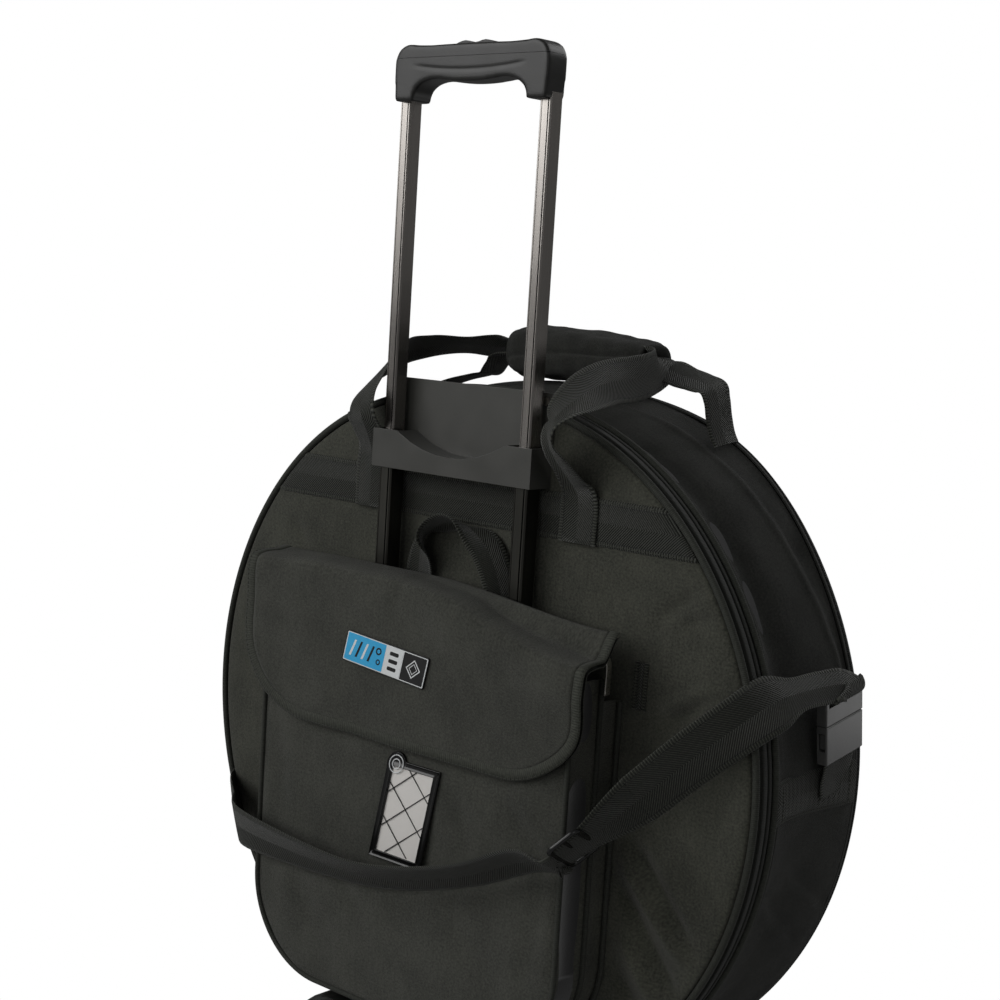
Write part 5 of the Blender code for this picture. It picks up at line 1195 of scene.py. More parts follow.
def buildFlap():
    line = flapLine()
    columns = 110
    share = np.linspace(-1, 1, columns)
    half = flapHalf(line[:, 1])
    sides = 1 - flap["taper"] * np.where(share > 0, 1.0, flap["leftTaperShare"])
    x = caseX + half[:, None] * share[None] * sides[None]
    points = np.stack([x, np.repeat(line[:, :1], columns, 1), np.repeat(line[:, 1:], columns, 1)], -1)
    along = unit(np.gradient(line, axis=0))
    facing = np.stack([np.zeros(len(line)), along[:, 1], -along[:, 0]], 1)
    relief, droop = flapRelief(points)
    calm = smoothStep(np.arange(len(line)), 0, 10)[:, None]
    points = points + facing[:, None] * (relief * calm)[..., None]
    points[..., 2] -= droop * (flap["ridgeDroopShare"] + (1 - flap["ridgeDroopShare"]) * calm)
    thick = flap["thick"] / 2
    parts = Patchwork()
    run = np.concatenate([[0], np.cumsum(np.linalg.norm(np.diff(line, axis=0), axis=1))])
    cloths = np.stack([half[:, None] * share[None], np.repeat(run[:, None], columns, 1)], -1)
    outer = points + facing[:, None] * thick
    inner = points - facing[:, None] * thick
    parts.grid(outer, cloths, 0, flip=True)
    parts.grid(inner, cloths, 1)
    rims = np.stack([rimOf(outer), rimOf(inner)], 1)
    parts.grid(rims, clothOf(rims, ring=True), 0, ring=True)
    obj = parts.build("pocketFlap", [pocketCloth, lining])
    finishPiece(obj, "flap", ["pocket_flap"])
    buildFlapBinding(points, facing, thick)
    return points


# The binding folds over the flap's free edge: down one side, along the bottom and up the other.
def buildFlapBinding(points, facing, thick):
    edge = np.concatenate([points[:, 0], points[-1, 1:-1], points[::-1, -1]])
    facings = np.concatenate([facing, np.repeat(facing[-1:], points.shape[1] - 2, 0), facing[::-1]])
    keepEvery = np.concatenate([[True], np.linalg.norm(np.diff(edge, axis=0), axis=1) > 1e-5])
    edge, facings = edge[keepEvery], facings[keepEvery]
    along = unit(np.gradient(edge, axis=0))
    inward = unit(np.cross(along, facings))
    reach, proud = flap["binding"], thick + flap["bindingProud"]
    fold = [(reach, thick - 0.0002), (reach, proud), (reach * 0.5, proud + 0.0003), (0.001, proud)]
    section = fold + [(-flap["bindingWrap"], 0.0)] + [(inset, -rise) for inset, rise in reversed(fold)]
    rings = [edge + inward * a + facings * b for a, b in section]
    parts = Patchwork()
    band = np.stack(rings, 1)
    parts.grid(band, clothOf(band), 0, flip=False)
    obj = parts.build("flapBinding", [flapTape])
    finishPiece(obj, "flap", [])
    row = edge[6:-6] + inward[6:-6] * (reach - flap["stitchInset"]) + facings[6:-6] * (proud + 0.0002)
    stitches = repeatAlong("flapStitches", [row], stitchBar, flap["stitchPitch"], thread)
    finishPiece(stitches, "flap", [])


# Webbing: each strap is a row of places with the direction of its width there

# The front panel's face at a place right of and above the middle.
def panelFace(x, z):
    x, z = np.broadcast_arrays(np.asarray(x, float), np.asarray(z, float))
    reach = np.exp(-((x / shell["sagReach"]) ** 2))
    pull = np.where(z > 0, shell["topSag"], -shell["bottomFlat"])
    flatZ = z + pull * reach * np.minimum(1, abs(z) / shell["sagReach"])
    return faceY - panelLift(x, z, np.hypot(x, flatZ))


def buildStrap(name, node, body, points, sides, width, thick, material, steps=6, cup=0.0, slack=0.0):
    parts = Patchwork()
    middle = smoothPath(points, steps)
    across = smoothPath(sides, steps)
    if slack:
        _, _, facing = strapFrames(middle, across)
        middle = middle + facing * (slack * unevenness(middle, 0.06, 77))[:, None]
    if np.ndim(width):
        width = smoothPath([(w, 0, 0) for w in width], steps)[:, 0]
    middle = middle + np.array([caseX, 0, 0])
    addStrap(parts, middle, across, width, thick, cup=cup)
    obj = parts.build(name, [material])
    return finishPiece(obj, body, [node])


frontWebbing = {
    "lowZ": 0.537,
    "highZ": 0.577,
    "thick": 0.0015,
    "edge": 0.0004,
    "endInset": 0.001,
    "stitchInset": 0.0022,
    "stitchEndInset": 0.004,
    "stitchLift": 0.0002,
    "stitchPitch": 0.0038,
}


def buildFrontWebbing():
    low, high = frontWebbing["lowZ"] - centreZ, frontWebbing["highZ"] - centreZ
    shares = np.array([0, 0.015, 0.05, 0.2, 0.35, 0.5, 0.65, 0.8, 0.95, 0.985, 1])
    rise = np.array([0, 0.7, 1, 1, 1, 1, 1, 1, 1, 0.7, 0])
    z = low + (high - low) * shares
    reach = np.sqrt((panelRadius - frontWebbing["endInset"]) ** 2 - z**2)
    columns = np.linspace(-1, 1, 150)
    x = columns[:, None] * reach[None]
    y = panelFace(x, np.broadcast_to(z, x.shape)) - frontWebbing["edge"] - frontWebbing["thick"] * rise
    points = np.stack([caseX + x, y, np.broadcast_to(centreZ + z, x.shape)], -1)
    cloths = np.stack([np.broadcast_to(z - (low + high) / 2, x.shape), x], -1)
    parts = Patchwork()
    parts.grid(points, cloths, 0)
    obj = parts.build("frontWebbing", [webbing[40]])
    finishPiece(obj, "case", ["front_webbing"])
    rows = []
    for place in (low + frontWebbing["stitchInset"], high - frontWebbing["stitchInset"]):
        span = math.sqrt((panelRadius - frontWebbing["stitchEndInset"]) ** 2 - place**2)
        x = np.linspace(-span, span, 200)
        y = panelFace(x, np.full_like(x, place)) - frontWebbing["edge"] - frontWebbing["thick"]
        y = y - frontWebbing["stitchLift"]
        rows.append(np.stack([caseX + x, y, np.full_like(x, centreZ + place)], 1))
    stitches = repeatAlong("frontWebbingStitches", rows, stitchBar, frontWebbing["stitchPitch"], thread)
    finishPiece(stitches, "case", [])


sideTab = {
    "lift": 0.0012,
    "thick": 0.0014,
    "stitchInset": 0.0045,
    "stitchLift": 0.0009,
    "stitchPitch": 0.0032,
}


def buildSideTab():
    low, high = extent("side_tab")
    x = (low[0] + high[0]) / 2
    z = np.linspace(low[2], high[2], 24)
    y = panelFace(np.full_like(z, x - caseX), z - centreZ) - sideTab["lift"]
    middle = np.stack([np.full_like(z, x), y, z], 1)
    parts = Patchwork()
    addStrap(parts, middle, np.tile((1.0, 0, 0), (len(z), 1)), high[0] - low[0], sideTab["thick"])
    obj = parts.build("sideTab", [webbing[14]])
    finishPiece(obj, "case", ["side_tab"])
    aside, lift = sideTab["stitchInset"], sideTab["stitchLift"]
    rows = [middle[2:-2] + np.array([side * aside, -lift, 0]) for side in (-1, 1)]
    stitches = repeatAlong("sideTabStitches", rows, stitchBar, sideTab["stitchPitch"], thread)
    finishPiece(stitches, "case", [])


frontHandle = {
    "width": 0.040,
    "thick": 0.0018,
    "path": (
        ((0.1280, -0.0257, 0.5370), (1, 0, 0)),
        ((0.1280, -0.0257, 0.5740), (1, 0, 0)),
        ((0.1235, -0.0330, 0.5900), (0.97, -0.17, -0.10)),
        ((0.1206, -0.0490, 0.6070), (0.93, -0.33, -0.10)),
        ((0.1210, -0.0615, 0.6230), (0.80, -0.60, -0.02)),
        ((0.1248, -0.0650, 0.6363), (0.72, -0.69, -0.06)),
        ((0.1290, -0.0580, 0.6474), (0.86, -0.44, -0.24)),
        ((0.1310, -0.0420, 0.6580), (0.84, -0.17, -0.50)),
        ((0.1305, -0.0200, 0.6670), (0.66, 0.02, -0.75)),
        ((0.1290, 0.0060, 0.6725), (0.40, 0.30, -0.84)),
        ((0.1270, 0.0360, 0.6745), (0.12, 0.50, -0.80)),
        ((0.1236, 0.0640, 0.6775), (-0.10, 0.65, -0.70)),
        ((0.1165, 0.0880, 0.6822), (-0.20, 0.74, -0.58)),
        ((0.1065, 0.1040, 0.6880), (-0.10, 0.90, -0.30)),
        ((0.0920, 0.1146, 0.6908), (0, 1, 0)),
        ((0.0390, 0.1146, 0.6908), (0, 1, 0)),
        ((-0.0359, 0.1146, 0.6908), (0, 1, 0)),
        ((-0.0620, 0.1146, 0.6908), (-0.10, 0.92, -0.30)),
        ((-0.0806, 0.1115, 0.6893), (-0.34, 0.74, -0.55)),
        ((-0.0953, 0.1050, 0.6890), (-0.46, 0.69, -0.54)),
        ((-0.1123, 0.0920, 0.6885), (-0.56, 0.71, -0.42)),
        ((-0.1263, 0.0760, 0.6871), (-0.54, 0.70, -0.45)),
        ((-0.1344, 0.0570, 0.6844), (-0.54, 0.66, -0.51)),
        ((-0.1378, 0.0360, 0.6803), (-0.56, 0.60, -0.55)),
        ((-0.1331, 0.0130, 0.6735), (-0.62, 0.60, -0.47)),
        ((-0.1243, -0.0100, 0.6650), (-0.75, 0.55, -0.32)),
        ((-0.1159, -0.0320, 0.6540), (-0.86, 0.40, -0.28)),
        ((-0.1086, -0.0510, 0.6400), (-0.92, 0.22, -0.30)),
        ((-0.1046, -0.0560, 0.6250), (-0.94, 0.18, -0.26)),
        ((-0.1075, -0.0440, 0.6080), (-0.95, 0.20, -0.20)),
        ((-0.1132, -0.0310, 0.5910), (-0.96, 0.20, -0.07)),
        ((-0.1178, -0.0257, 0.5740), (-1, 0, 0)),
        ((-0.1178, -0.0257, 0.5370), (-1, 0, 0)),
    ),
}
rearHandle = {
    "width": 0.036,
    "thick": 0.0018,
    "path": (
        ((0.1830, 0.1060, 0.6226), (0.06, 0.99, 0.05)),
        ((0.1783, 0.1050, 0.6317), (0.06, 0.99, 0.10)),
        ((0.1745, 0.1040, 0.6453), (0.08, 0.99, 0.11)),
        ((0.1716, 0.1035, 0.6594), (0.06, 0.98, 0.18)),
        ((0.1653, 0.1040, 0.6700), (0.03, 0.94, 0.33)),
        ((0.1499, 0.1060, 0.6736), (-0.08, 0.92, 0.38)),
        ((0.1306, 0.1100, 0.6767), (-0.18, 0.88, 0.43)),
        ((0.1108, 0.1140, 0.6815), (-0.15, 0.86, 0.48)),
        ((0.0900, 0.1146, 0.6842), (0, 0.97, 0.20)),
        ((0.0260, 0.1146, 0.6842), (0, 1, 0)),
        ((-0.0644, 0.1146, 0.6842), (0, 1, 0)),
        ((-0.0872, 0.1146, 0.6809), (0, 1, 0)),
        ((-0.0934, 0.1131, 0.6720), (0, 1, 0)),
        ((-0.1001, 0.1116, 0.6631), (0, 1, 0)),
        ((-0.1110, 0.1086, 0.6598), (0, 1, 0)),
        ((-0.1350, 0.1042, 0.6530), (0, 1, 0)),
        ((-0.1600, 0.1012, 0.6430), (0, 1, 0)),
        ((-0.1744, 0.0997, 0.6341), (0, 1, 0)),
        ((-0.1870, 0.0997, 0.6226), (0, 1, 0)),
    ),
}
grabLoop = {
    "widths": (0.034, 0.034, 0.030, 0.030, 0.030, 0.028, 0.026),
    "thick": 0.0018,
    "path": (
        ((-0.048, -0.0256, 0.460), (1, 0, 0)),
        ((-0.048, -0.0285, 0.4873), (0.95, -0.1, 0.2)),
        ((-0.0336, -0.0373, 0.5224), (0.6, -0.55, 0.5)),
        ((0.0, -0.0383, 0.538), (-0.1, -0.75, 0.45)),
        ((0.036, -0.0373, 0.5224), (-0.55, -0.70, -0.25)),
        ((0.0552, -0.0363, 0.4873), (-0.62, -0.75, -0.1)),
        ((0.0576, -0.0363, 0.460), (-0.60, -0.80, 0)),
    ),
}
shoulderStrap = {
    "width": 0.046,
    "bunch": 0.0299,
    "bunched": (21, 24),
    "thick": 0.0020,
    "path": (
        ((-0.3315, 0.0668, 0.2721), (0, 0.94, -0.342)),
        ((-0.3397, 0.0665, 0.2712), (0, 0.94, -0.342)),
        ((-0.3417, 0.0627, 0.2609), (0, 0.94, -0.342)),
        ((-0.3280, 0.0345, 0.2475), (0, 0.8, -0.6)),
        ((-0.3090, 0.0117, 0.2300), (0, 0.4, -0.92)),
        ((-0.2990, -0.0110, 0.2225), (0.12, 0.2, -0.97)),
        ((-0.2820, -0.0330, 0.2205), (0.15, 0.1, -0.98)),
        ((-0.2410, -0.0650, 0.2215), (0.08, 0.15, -0.98)),
        ((-0.184, -0.102, 0.2248), (0, 0.35, -0.94)),
        ((-0.0546, -0.1113, 0.2256), (0, 0.669, -0.743)),
        ((0.0182, -0.1135, 0.2347), (0, 0.766, -0.643)),
        ((0.1001, -0.1147, 0.2591), (0, 0.819, -0.574)),
        ((0.1638, -0.1147, 0.2883), (0, 0.819, -0.574)),
        ((0.2008, -0.122, 0.2959), (-0.183, 0.728, -0.366)),
        ((0.2056, -0.1179, 0.3015), (-0.183, 0.728, -0.366)),
        ((0.2214, -0.1045, 0.3203), (-0.10, 0.72, -0.42)),
        ((0.2469, -0.0829, 0.3504), (0.32, 0.60, -0.64)),
        ((0.2517, -0.0789, 0.356), (0.40, 0.56, -0.68)),
        ((0.2780, -0.0567, 0.3873), (0.50, 0.48, -0.71)),
        ((0.3080, -0.0300, 0.4200), (0.58, 0.36, -0.73)),
        ((0.3204, -0.0055, 0.4355), (0.62, 0.20, -0.76)),
        ((0.3259, 0.0189, 0.4400), (0.62, 0.05, -0.78)),
        ((0.3302, 0.0455, 0.4420), (0.59, -0.15, -0.72)),
        ((0.3357, 0.0698, 0.4430), (0.12, -0.83, -0.52)),
        ((0.3407, 0.0746, 0.4400), (0, -0.988, -0.156)),
        ((0.3397, 0.0763, 0.4333), (0, -0.988, -0.156)),
        ((0.3315, 0.0765, 0.4324), (0, -0.988, -0.156)),
    ),
}


def buildHandles():
    for name, node, settings, material in (
        ("frontHandle", "front_handle", frontHandle, webbing[40]),
        ("rearHandle", "rear_handle", rearHandle, webbing[36]),
    ):
        points, sides = zip(*settings["path"])
        width, thick = settings["width"], settings["thick"]
        buildStrap(name, node, "case", points, sides, width, thick, material, 8, 0.0006)
    points, sides = zip(*grabLoop["path"])
    widths, thick = grabLoop["widths"], grabLoop["thick"]
    buildStrap("grabLoop", "grab_loop", "case", points, sides, widths, thick, webbing[34], 12, 0.0008)


def buildShoulderStrap():
    points, sides = zip(*shoulderStrap["path"])
    full, bunch, thick = shoulderStrap["width"], shoulderStrap["bunch"], shoulderStrap["thick"]
    start, end = shoulderStrap["bunched"]
    widths = [bunch if start <= place < end else full for place in range(len(points))]
    material = webbing[46]
    buildStrap("shoulderStrap", "shoulder_strap", "case", points, sides, widths, thick, material, 8, 0.0006)


# The strap's adjuster: a rounded wire-like frame with a middle bar, all of one moulding.
adjuster = {
    "place": (0.2135, -0.1112, 0.3109),
    "half": (0.0280, 0.0140),
    "corner": 0.0055,
    "bar": (0.0024, 0.0019),
}


def buildAdjuster():
    along = unit((0.565, 0.480, 0.672))
    across = unit((-0.219, 0.872, -0.438))
    facing = np.cross(along, across)
    place = np.array(adjuster["place"]) + [caseX, 0, 0]
    long, short = adjuster["half"]
    corner = adjuster["corner"]
    ring = []
    for cx, cy, start in ((1, 1, 0), (-1, 1, 90), (-1, -1, 180), (1, -1, 270)):
        for turn in np.radians(start + np.linspace(0, 90, 9)):
            a = cx * (long - corner) + corner * math.cos(turn)
            b = cy * (short - corner) + corner * math.sin(turn)
            ring.append(place + across * a + along * b)
    ring = np.array(ring)
    parts = Patchwork()
    wide, thin = adjuster["bar"]
    addBar(parts, ring, facing, wide, thin, True)
    bar = np.array([place + across * a for a in np.linspace(-long, long, 9)])
    addBar(parts, bar, facing, wide * 0.8, thin * 0.7, False)
    obj = parts.build("strapAdjuster", [glossy])
    finishPiece(obj, "adjuster", ["strap_adjuster"])


# A flattened round bar along a path.
def addBar(parts, path, facing, wide, thin, ring):
    step = np.roll(path, -1, 0) - np.roll(path, 1, 0) if ring else np.gradient(path, axis=0)
    side = np.cross(unit(step), facing)
    turn = 2 * math.pi * np.arange(14) / 14
    x, y = superellipse(turn, wide, thin, 2.6)
    points = path[:, None] + side[:, None] * x[None, :, None] + facing[None, None] * y[None, :, None]
    parts.grid(points, clothOf(points, ring=ring, tube=True), 0, ring=ring, tube=True)


# The padded wrap round both carry handles.
wrap = {
    "y": 0.1146,
    "z": 0.6875,
    "halfDepth": 0.030,
    "halfHeight": 0.024,
    "low": -0.062,
    "high": 0.094,
    "power": 2.7,
    "tilt": 0.004,
    "around": 180,
    "along": 110,
    "foldStart": 190,
    "foldEnd": 166,
    "mouth": ((0.93, -0.0014), (0.80, -0.0006), (0.62, 0.0020), (0.45, 0.0060), (0.40, 0.0200)),
    "pinch": (0.16, 0.045),
    "edge": 0.0016,
    "edgeRun": (-0.0012, 0.0010),
    "edgeFade": (0.010, 0.026),
    "groove": 0.0022,
}


def superellipse(angle, halfWidth, halfHeight, power):
    c, s = np.cos(angle), np.sin(angle)
    return (
        halfWidth * np.sign(c) * abs(c) ** (2 / power),
        halfHeight * np.sign(s) * abs(s) ** (2 / power),
    )


def buildWrap():
    parts = Patchwork()
    around = wrap["around"]
    turn = 2 * math.pi * np.arange(around) / around
    shares = np.linspace(0, 1, wrap["along"])
    pinch, ends = wrap["pinch"]
    squeeze = 1 - pinch * np.exp(-((shares / ends) ** 2)) - pinch * np.exp(-(((1 - shares) / ends) ** 2))
    x = wrap["low"] + (wrap["high"] - wrap["low"]) * shares
    y, z = superellipse(turn, wrap["halfDepth"], wrap["halfHeight"], wrap["power"])
    points = np.stack(
        [
            np.repeat(caseX + x[:, None], around, 1),
            wrap["y"] + squeeze[:, None] * y[None],
            wrap["z"] - wrap["tilt"] * shares[:, None] ** 2 + squeeze[:, None] * z[None],
        ],
        -1,
    )
    outward = unit(np.stack([np.zeros(around), y / wrap["halfDepth"] ** 2, z / wrap["halfHeight"] ** 2], -1))
    rough = 0.0015 * unevenness(points * [0.5, 1, 1], 0.04, 91) + 0.0006 * unevenness(points, 0.018, 92)
    foldTurn = np.radians(wrap["foldStart"] + (wrap["foldEnd"] - wrap["foldStart"]) * shares)
    below = (turn[None] - foldTurn[:, None]) * 0.027 + 0.0012 * unevenness(points, 0.05, 93)
    flapEdge = wrap["edge"] * smoothStep(below, *wrap["edgeRun"]) * (1 - smoothStep(below, *wrap["edgeFade"]))
    rough = rough + flapEdge - wrap["groove"] * np.exp(-(((below + wrap["edge"]) / wrap["groove"]) ** 2))
    calm = smoothStep(np.minimum(shares, 1 - shares), 0, 0.06)[:, None]
    points = points + outward[None] * (rough * calm)[..., None]
    parts.grid(points, clothOf(points, tube=True), 0, tube=True, flip=True)
    for end, turned, way in ((0, False, 1), (-1, True, -1)):
        rings = [points[end]]
        middle = points[end].mean(0)
        for share, depth in wrap["mouth"]:
            ring = middle + (points[end] - middle) * np.array([0, share, share])
            ring[:, 0] = points[end, :, 0] + way * depth
            rings.append(ring)
        cap = np.stack(rings)
        parts.grid(cap, clothOf(cap, tube=True), 0, tube=True, flip=turned)
    obj = parts.build("handleWrap", [shadedPackCloth])
    finishPiece(obj, "case", ["handle_wrap"])


# The webbing patches on the sides that carry the buckles.
anchor = {
    "low": -0.012,
    "high": 0.024,
    "lift": 0.0014,
    "crease": 0.0007,
    "creasePitch": 0.013,
    "stitchLift": 0.0004,
    "stitchPitch": 0.0036,
}


def buildAnchors():
    for side, name, node in ((-1, "Left", "strap_anchor_left"), (1, "Right", "strap_anchor_right")):
        z = np.linspace(anchor["low"], anchor["high"], 15)
        rise = np.array([0, 0.8] + [1] * 11 + [0.8, 0])
        shares = np.linspace(-0.03, 0.998, 70)
        depth = bandLow[1] + (bandHigh[1] - bandLow[1]) * shares
        angles = np.arcsin(z / shell["caseRadius"])
        if side < 0:
            angles = math.pi - angles
        clipped = np.clip(shares, 0, 1)
        radii = wallRadius(angles[None], clipped[:, None]) + wallRelief(angles[None], clipped[:, None])
        points = casePoints(radii, angles[None], depth[:, None])
        ripple = np.sin(depth * 2 * math.pi / anchor["creasePitch"] + 1.3)[:, None]
        creases = anchor["crease"] * ripple * unevenness(points * 0.4, 0.03, 95)
        lift = anchor["lift"] * rise[None] + abs(creases) * (rise[None] == 1)
        points[..., 0] += side * lift
        cloths = np.stack(np.broadcast_arrays(z[None] - 0.006, depth[:, None]), -1)
        parts = Patchwork()
        parts.grid(points, cloths, 0, flip=side > 0)
        addBuckleTab(parts, side)
        obj = parts.build(f"strapAnchor{name}", [webbing[46]])
        finishPiece(obj, "case", [node])
        rows = []
        for index in (1, 13):
            row = points[3:-3, index] + np.array([side * anchor["stitchLift"], 0, 0])
            rows.append(row)
        for index in (5, 64):
            rows.append(points[index, 2:-2] + np.array([side * anchor["stitchLift"], 0, 0]))
        stitches = repeatAlong(f"anchorStitches{name}", rows, stitchBar, anchor["stitchPitch"], thread)
        finishPiece(stitches, "case", [])


def buckleFrame(side):
    turn = math.radians(9 if side > 0 else 160)
    along = Vector((0, -math.sin(turn), math.cos(turn)))
    across = along.cross(Vector((side, 0, 0)))
    facing = across.cross(along)
    frameMatrix = Matrix((along, across, facing)).transposed().to_4x4()
    frameMatrix.translation = (side * 0.3315 + caseX, 0.0846, 0.351 + side * 0.030)
    return frameMatrix


# The tab that holds the buckle's socket: up from the patch to the socket's bar.
def addBuckleTab(parts, side):
    matrix = buckleFrame(side)
    path = [
        (-0.034, 0, -0.0052),
        (-0.020, 0, -0.0045),
        (-0.008, 0, -0.0016),
        (-0.0012, 0, -0.0008),
    ]
    local = smoothPath(path, 6)
    middle = np.array([matrix @ Vector(place) for place in local])
    across = np.tile(np.array(matrix.col[1].xyz), (len(middle), 1))
    addStrap(parts, middle, across, 0.0455, 0.0018)


# The name label: a thin moulded badge with a plain pattern of its own.
labelPlate = {
    "low": (-0.070, 0.4045),
    "high": (0.030, 0.4325),
    "y": -0.0952,
    "thick": 0.0012,
    "tilt": 0.085,
    "lean": 0.22,
}


def roundedRect(width, height, corner, steps=6):
    points = []
    for cx, cz, start in (
        (width / 2 - corner, height / 2 - corner, 0),
        (corner - width / 2, height / 2 - corner, 90),
        (corner - width / 2, corner - height / 2, 180),
        (width / 2 - corner, corner - height / 2, 270),
    ):
        for i in range(steps + 1):
            angle = math.radians(start + 90 * i / steps)
            points.append((cx + corner * math.cos(angle), cz + corner * math.sin(angle)))
    return points


# A flat plate facing the viewer, from its outline in metres, with a slot of its own.
def addPlate(mesh, outline, y, thick, slot=0):
    front = [mesh.verts.new((x, y - thick, z)) for x, z in outline]
    back = [mesh.verts.new((x, y, z)) for x, z in outline]
    faces = [mesh.faces.new(front)]
    for i in range(len(outline)):
        j = (i + 1) % len(outline)
        faces.append(mesh.faces.new([front[i], back[i], back[j], front[j]]))
    for face in faces:
        face.material_index = slot


def ringOutline(cx, cz, radius, width, steps=28, start=0.0, end=360.0):
    angles = np.radians(np.linspace(start, end, steps))
    hole = radius - width
    outer = [(cx + radius * math.cos(a), cz + radius * math.sin(a)) for a in angles]
    inner = [(cx + hole * math.cos(a), cz + hole * math.sin(a)) for a in reversed(angles)]
    return outer + inner


def buildLabel():
    lowX, lowZ = labelPlate["low"]
    highX, highZ = labelPlate["high"]
    cx, cz = (lowX + highX) / 2 + caseX, (lowZ + highZ) / 2
    width, height = highX - lowX, highZ - lowZ
    mesh = bmesh.new()
    y = labelPlate["y"]
    base = labelPlate["thick"]

    def shifted(outline, dx=0.0, dz=0.0):
        moved = [(dx + x, dz + z) for x, z in outline]
        return [(cx + x + labelPlate["lean"] * z, cz + z - labelPlate["tilt"] * x) for x, z in moved]

    addPlate(mesh, shifted(roundedRect(width, height, 0.0016)), y, base, 0)
    addPlate(mesh, shifted(roundedRect(width - 0.0012, height - 0.0012, 0.0014)), y - base, 0.00015, 1)
    layer = y - base - 0.00015
    blocks = ((-0.0245, 0.0470, 2), (0.0100, 0.0200, 3), (0.0345, 0.0270, 4))
    for dx, wide, slot in blocks:
        addPlate(mesh, shifted(roundedRect(wide, height - 0.0032, 0.0006), dx), layer, 0.00015, slot)
    layer -= 0.00015
    for i in range(4):
        dx = -0.0415 + 0.0075 * i
        bar = [(-0.0014, -0.0075), (0.0010, -0.0075), (0.0050, 0.0075), (0.0026, 0.0075)]
        addPlate(mesh, shifted(bar, dx), layer, 0.0001, 4 if i % 2 else 1)
    for dx, dz, radius in ((-0.0085, 0.0045, 0.0034), (-0.0070, -0.0050, 0.0026)):
        addPlate(mesh, shifted(ringOutline(dx, dz, radius, radius * 0.45)), layer, 0.0001, 4)
    for dz in (-0.0068, 0.0, 0.0068):
        addPlate(mesh, shifted(roundedRect(0.0105, 0.0034, 0.0012), 0.0100, dz), layer, 0.0001, 4)
    for scale in (0.0085, 0.0050):
        diamond = [(scale, 0), (0, scale), (-scale, 0), (0, -scale)]
        inner = [(x * 0.84, z * 0.84) for x, z in diamond]
        for i in range(4):
            j = (i + 1) % 4
            addPlate(mesh, shifted([diamond[i], diamond[j], inner[j], inner[i]], 0.0345), layer, 0.0001, 1)
    bmesh.ops.recalc_face_normals(mesh, faces=mesh.faces)
    obj = newObject("nameLabel", mesh, [labelBlack, labelWhite, labelBlue, labelWhite, labelBlack])
    finishPiece(obj, "flap", ["name_label"])
    rim = roundedRect(width - 0.0006, height - 0.0006, 0.0015)
    path = [(x, y - base - 0.0001, z) for x, z in shifted(rim)]
    parts = Patchwork()
    addCord(parts, path, 0.0005, ring=True, sides=8)
    edge = parts.build("labelEdge", [labelBlack])
    finishPiece(edge, "flap", [])


# The window that holds a name card: a moulded frame with raised edges and a round tab.
windowFrame = {
    "place": (0.009, 0.285),
    "half": (0.031, 0.0465),
    "border": 0.0065,
    "corner": 0.004,
    "tab": (-0.0205, 0.0425, 0.0112),
    "back": -0.0907,
    "front": -0.0927,
}


def rectRadius(angle, halfWidth, halfHeight):
    c, s = abs(math.cos(angle)), abs(math.sin(angle))
    return 1 / max(c / halfWidth, s / halfHeight)


def circleRadius(angle, cx, cz, radius):
    along = cx * math.cos(angle) + cz * math.sin(angle)
    aside = cx * math.sin(angle) - cz * math.cos(angle)
    return along + math.sqrt(radius**2 - aside**2) if abs(aside) < radius else 0.0


def sheared(x, z):
    px, pz = windowFrame["place"]
    return caseX + px + x + 0.2 * z, pz + z


def buildWindow():
    halfWidth, halfHeight = windowFrame["half"]
    border = windowFrame["border"]
    count = 240
    sides, levels = (-halfWidth, halfWidth), (-halfHeight, halfHeight)
    corners = [math.atan2(z, x) % (2 * math.pi) for x in sides for z in levels]
    angles = sorted(set([2 * math.pi * i / count for i in range(count)] + corners))
    outer, inner = [], []
    for angle in angles:
        reach = max(rectRadius(angle, halfWidth, halfHeight), circleRadius(angle, *windowFrame["tab"]))
        hole = rectRadius(angle, halfWidth - border, halfHeight - border)
        outer.append((reach * math.cos(angle), reach * math.sin(angle)))
        inner.append((hole * math.cos(angle), hole * math.sin(angle)))
    outer, inner = np.array(outer), np.array(inner)
    gap = np.linalg.norm(outer - inner, axis=1, keepdims=True)
    inward = (inner - outer) / gap
    back, front = windowFrame["back"], windowFrame["front"]
    low = front + 0.0006
    rim = 0.0011
    profile = [(0, back), (0, front + 0.0004), (0.0004, front), (rim - 0.0003, front), (rim, low)]
    rings = []
    for reach, y in profile:
        flat = outer + inward * np.minimum(reach, gap * 0.45)
        rings.append(np.array([[*sheared(*p)[:1], y, sheared(*p)[1]] for p in flat]))
    for reach, y in [(rim, low), (rim - 0.0003, front), (0.0003, front), (0, front + 0.0003), (0, back)]:
        flat = inner - inward * np.minimum(reach, gap * 0.45)
        rings.append(np.array([[*sheared(*p)[:1], y, sheared(*p)[1]] for p in flat]))
    points = np.stack(rings, 1)
    parts = Patchwork()
    parts.grid(points, clothOf(points, ring=True), 0, ring=True)
    obj = parts.build("windowFrame", [glossy])
    finishPiece(obj, "case", ["window_frame"])
    addBadge()
    addCard(halfWidth - border, halfHeight - border)


# A plain raised ring on the frame's round tab.
def addBadge():
    cx, cz, _ = windowFrame["tab"]
    turn = np.linspace(0, 2 * math.pi, 41)[:-1]
    parts = Patchwork()
    for radius, cord in ((0.0082, 0.0005), (0.0045, 0.0005)):
        path = []
        for angle in turn:
            x, z = sheared(cx + radius * math.cos(angle), cz + radius * math.sin(angle))
            path.append((x, windowFrame["front"] + 0.0004, z))
        addCord(parts, path, cord, ring=True, sides=8)
    obj = parts.build("tabRing", [labelWhite])
    finishPiece(obj, "case", [])


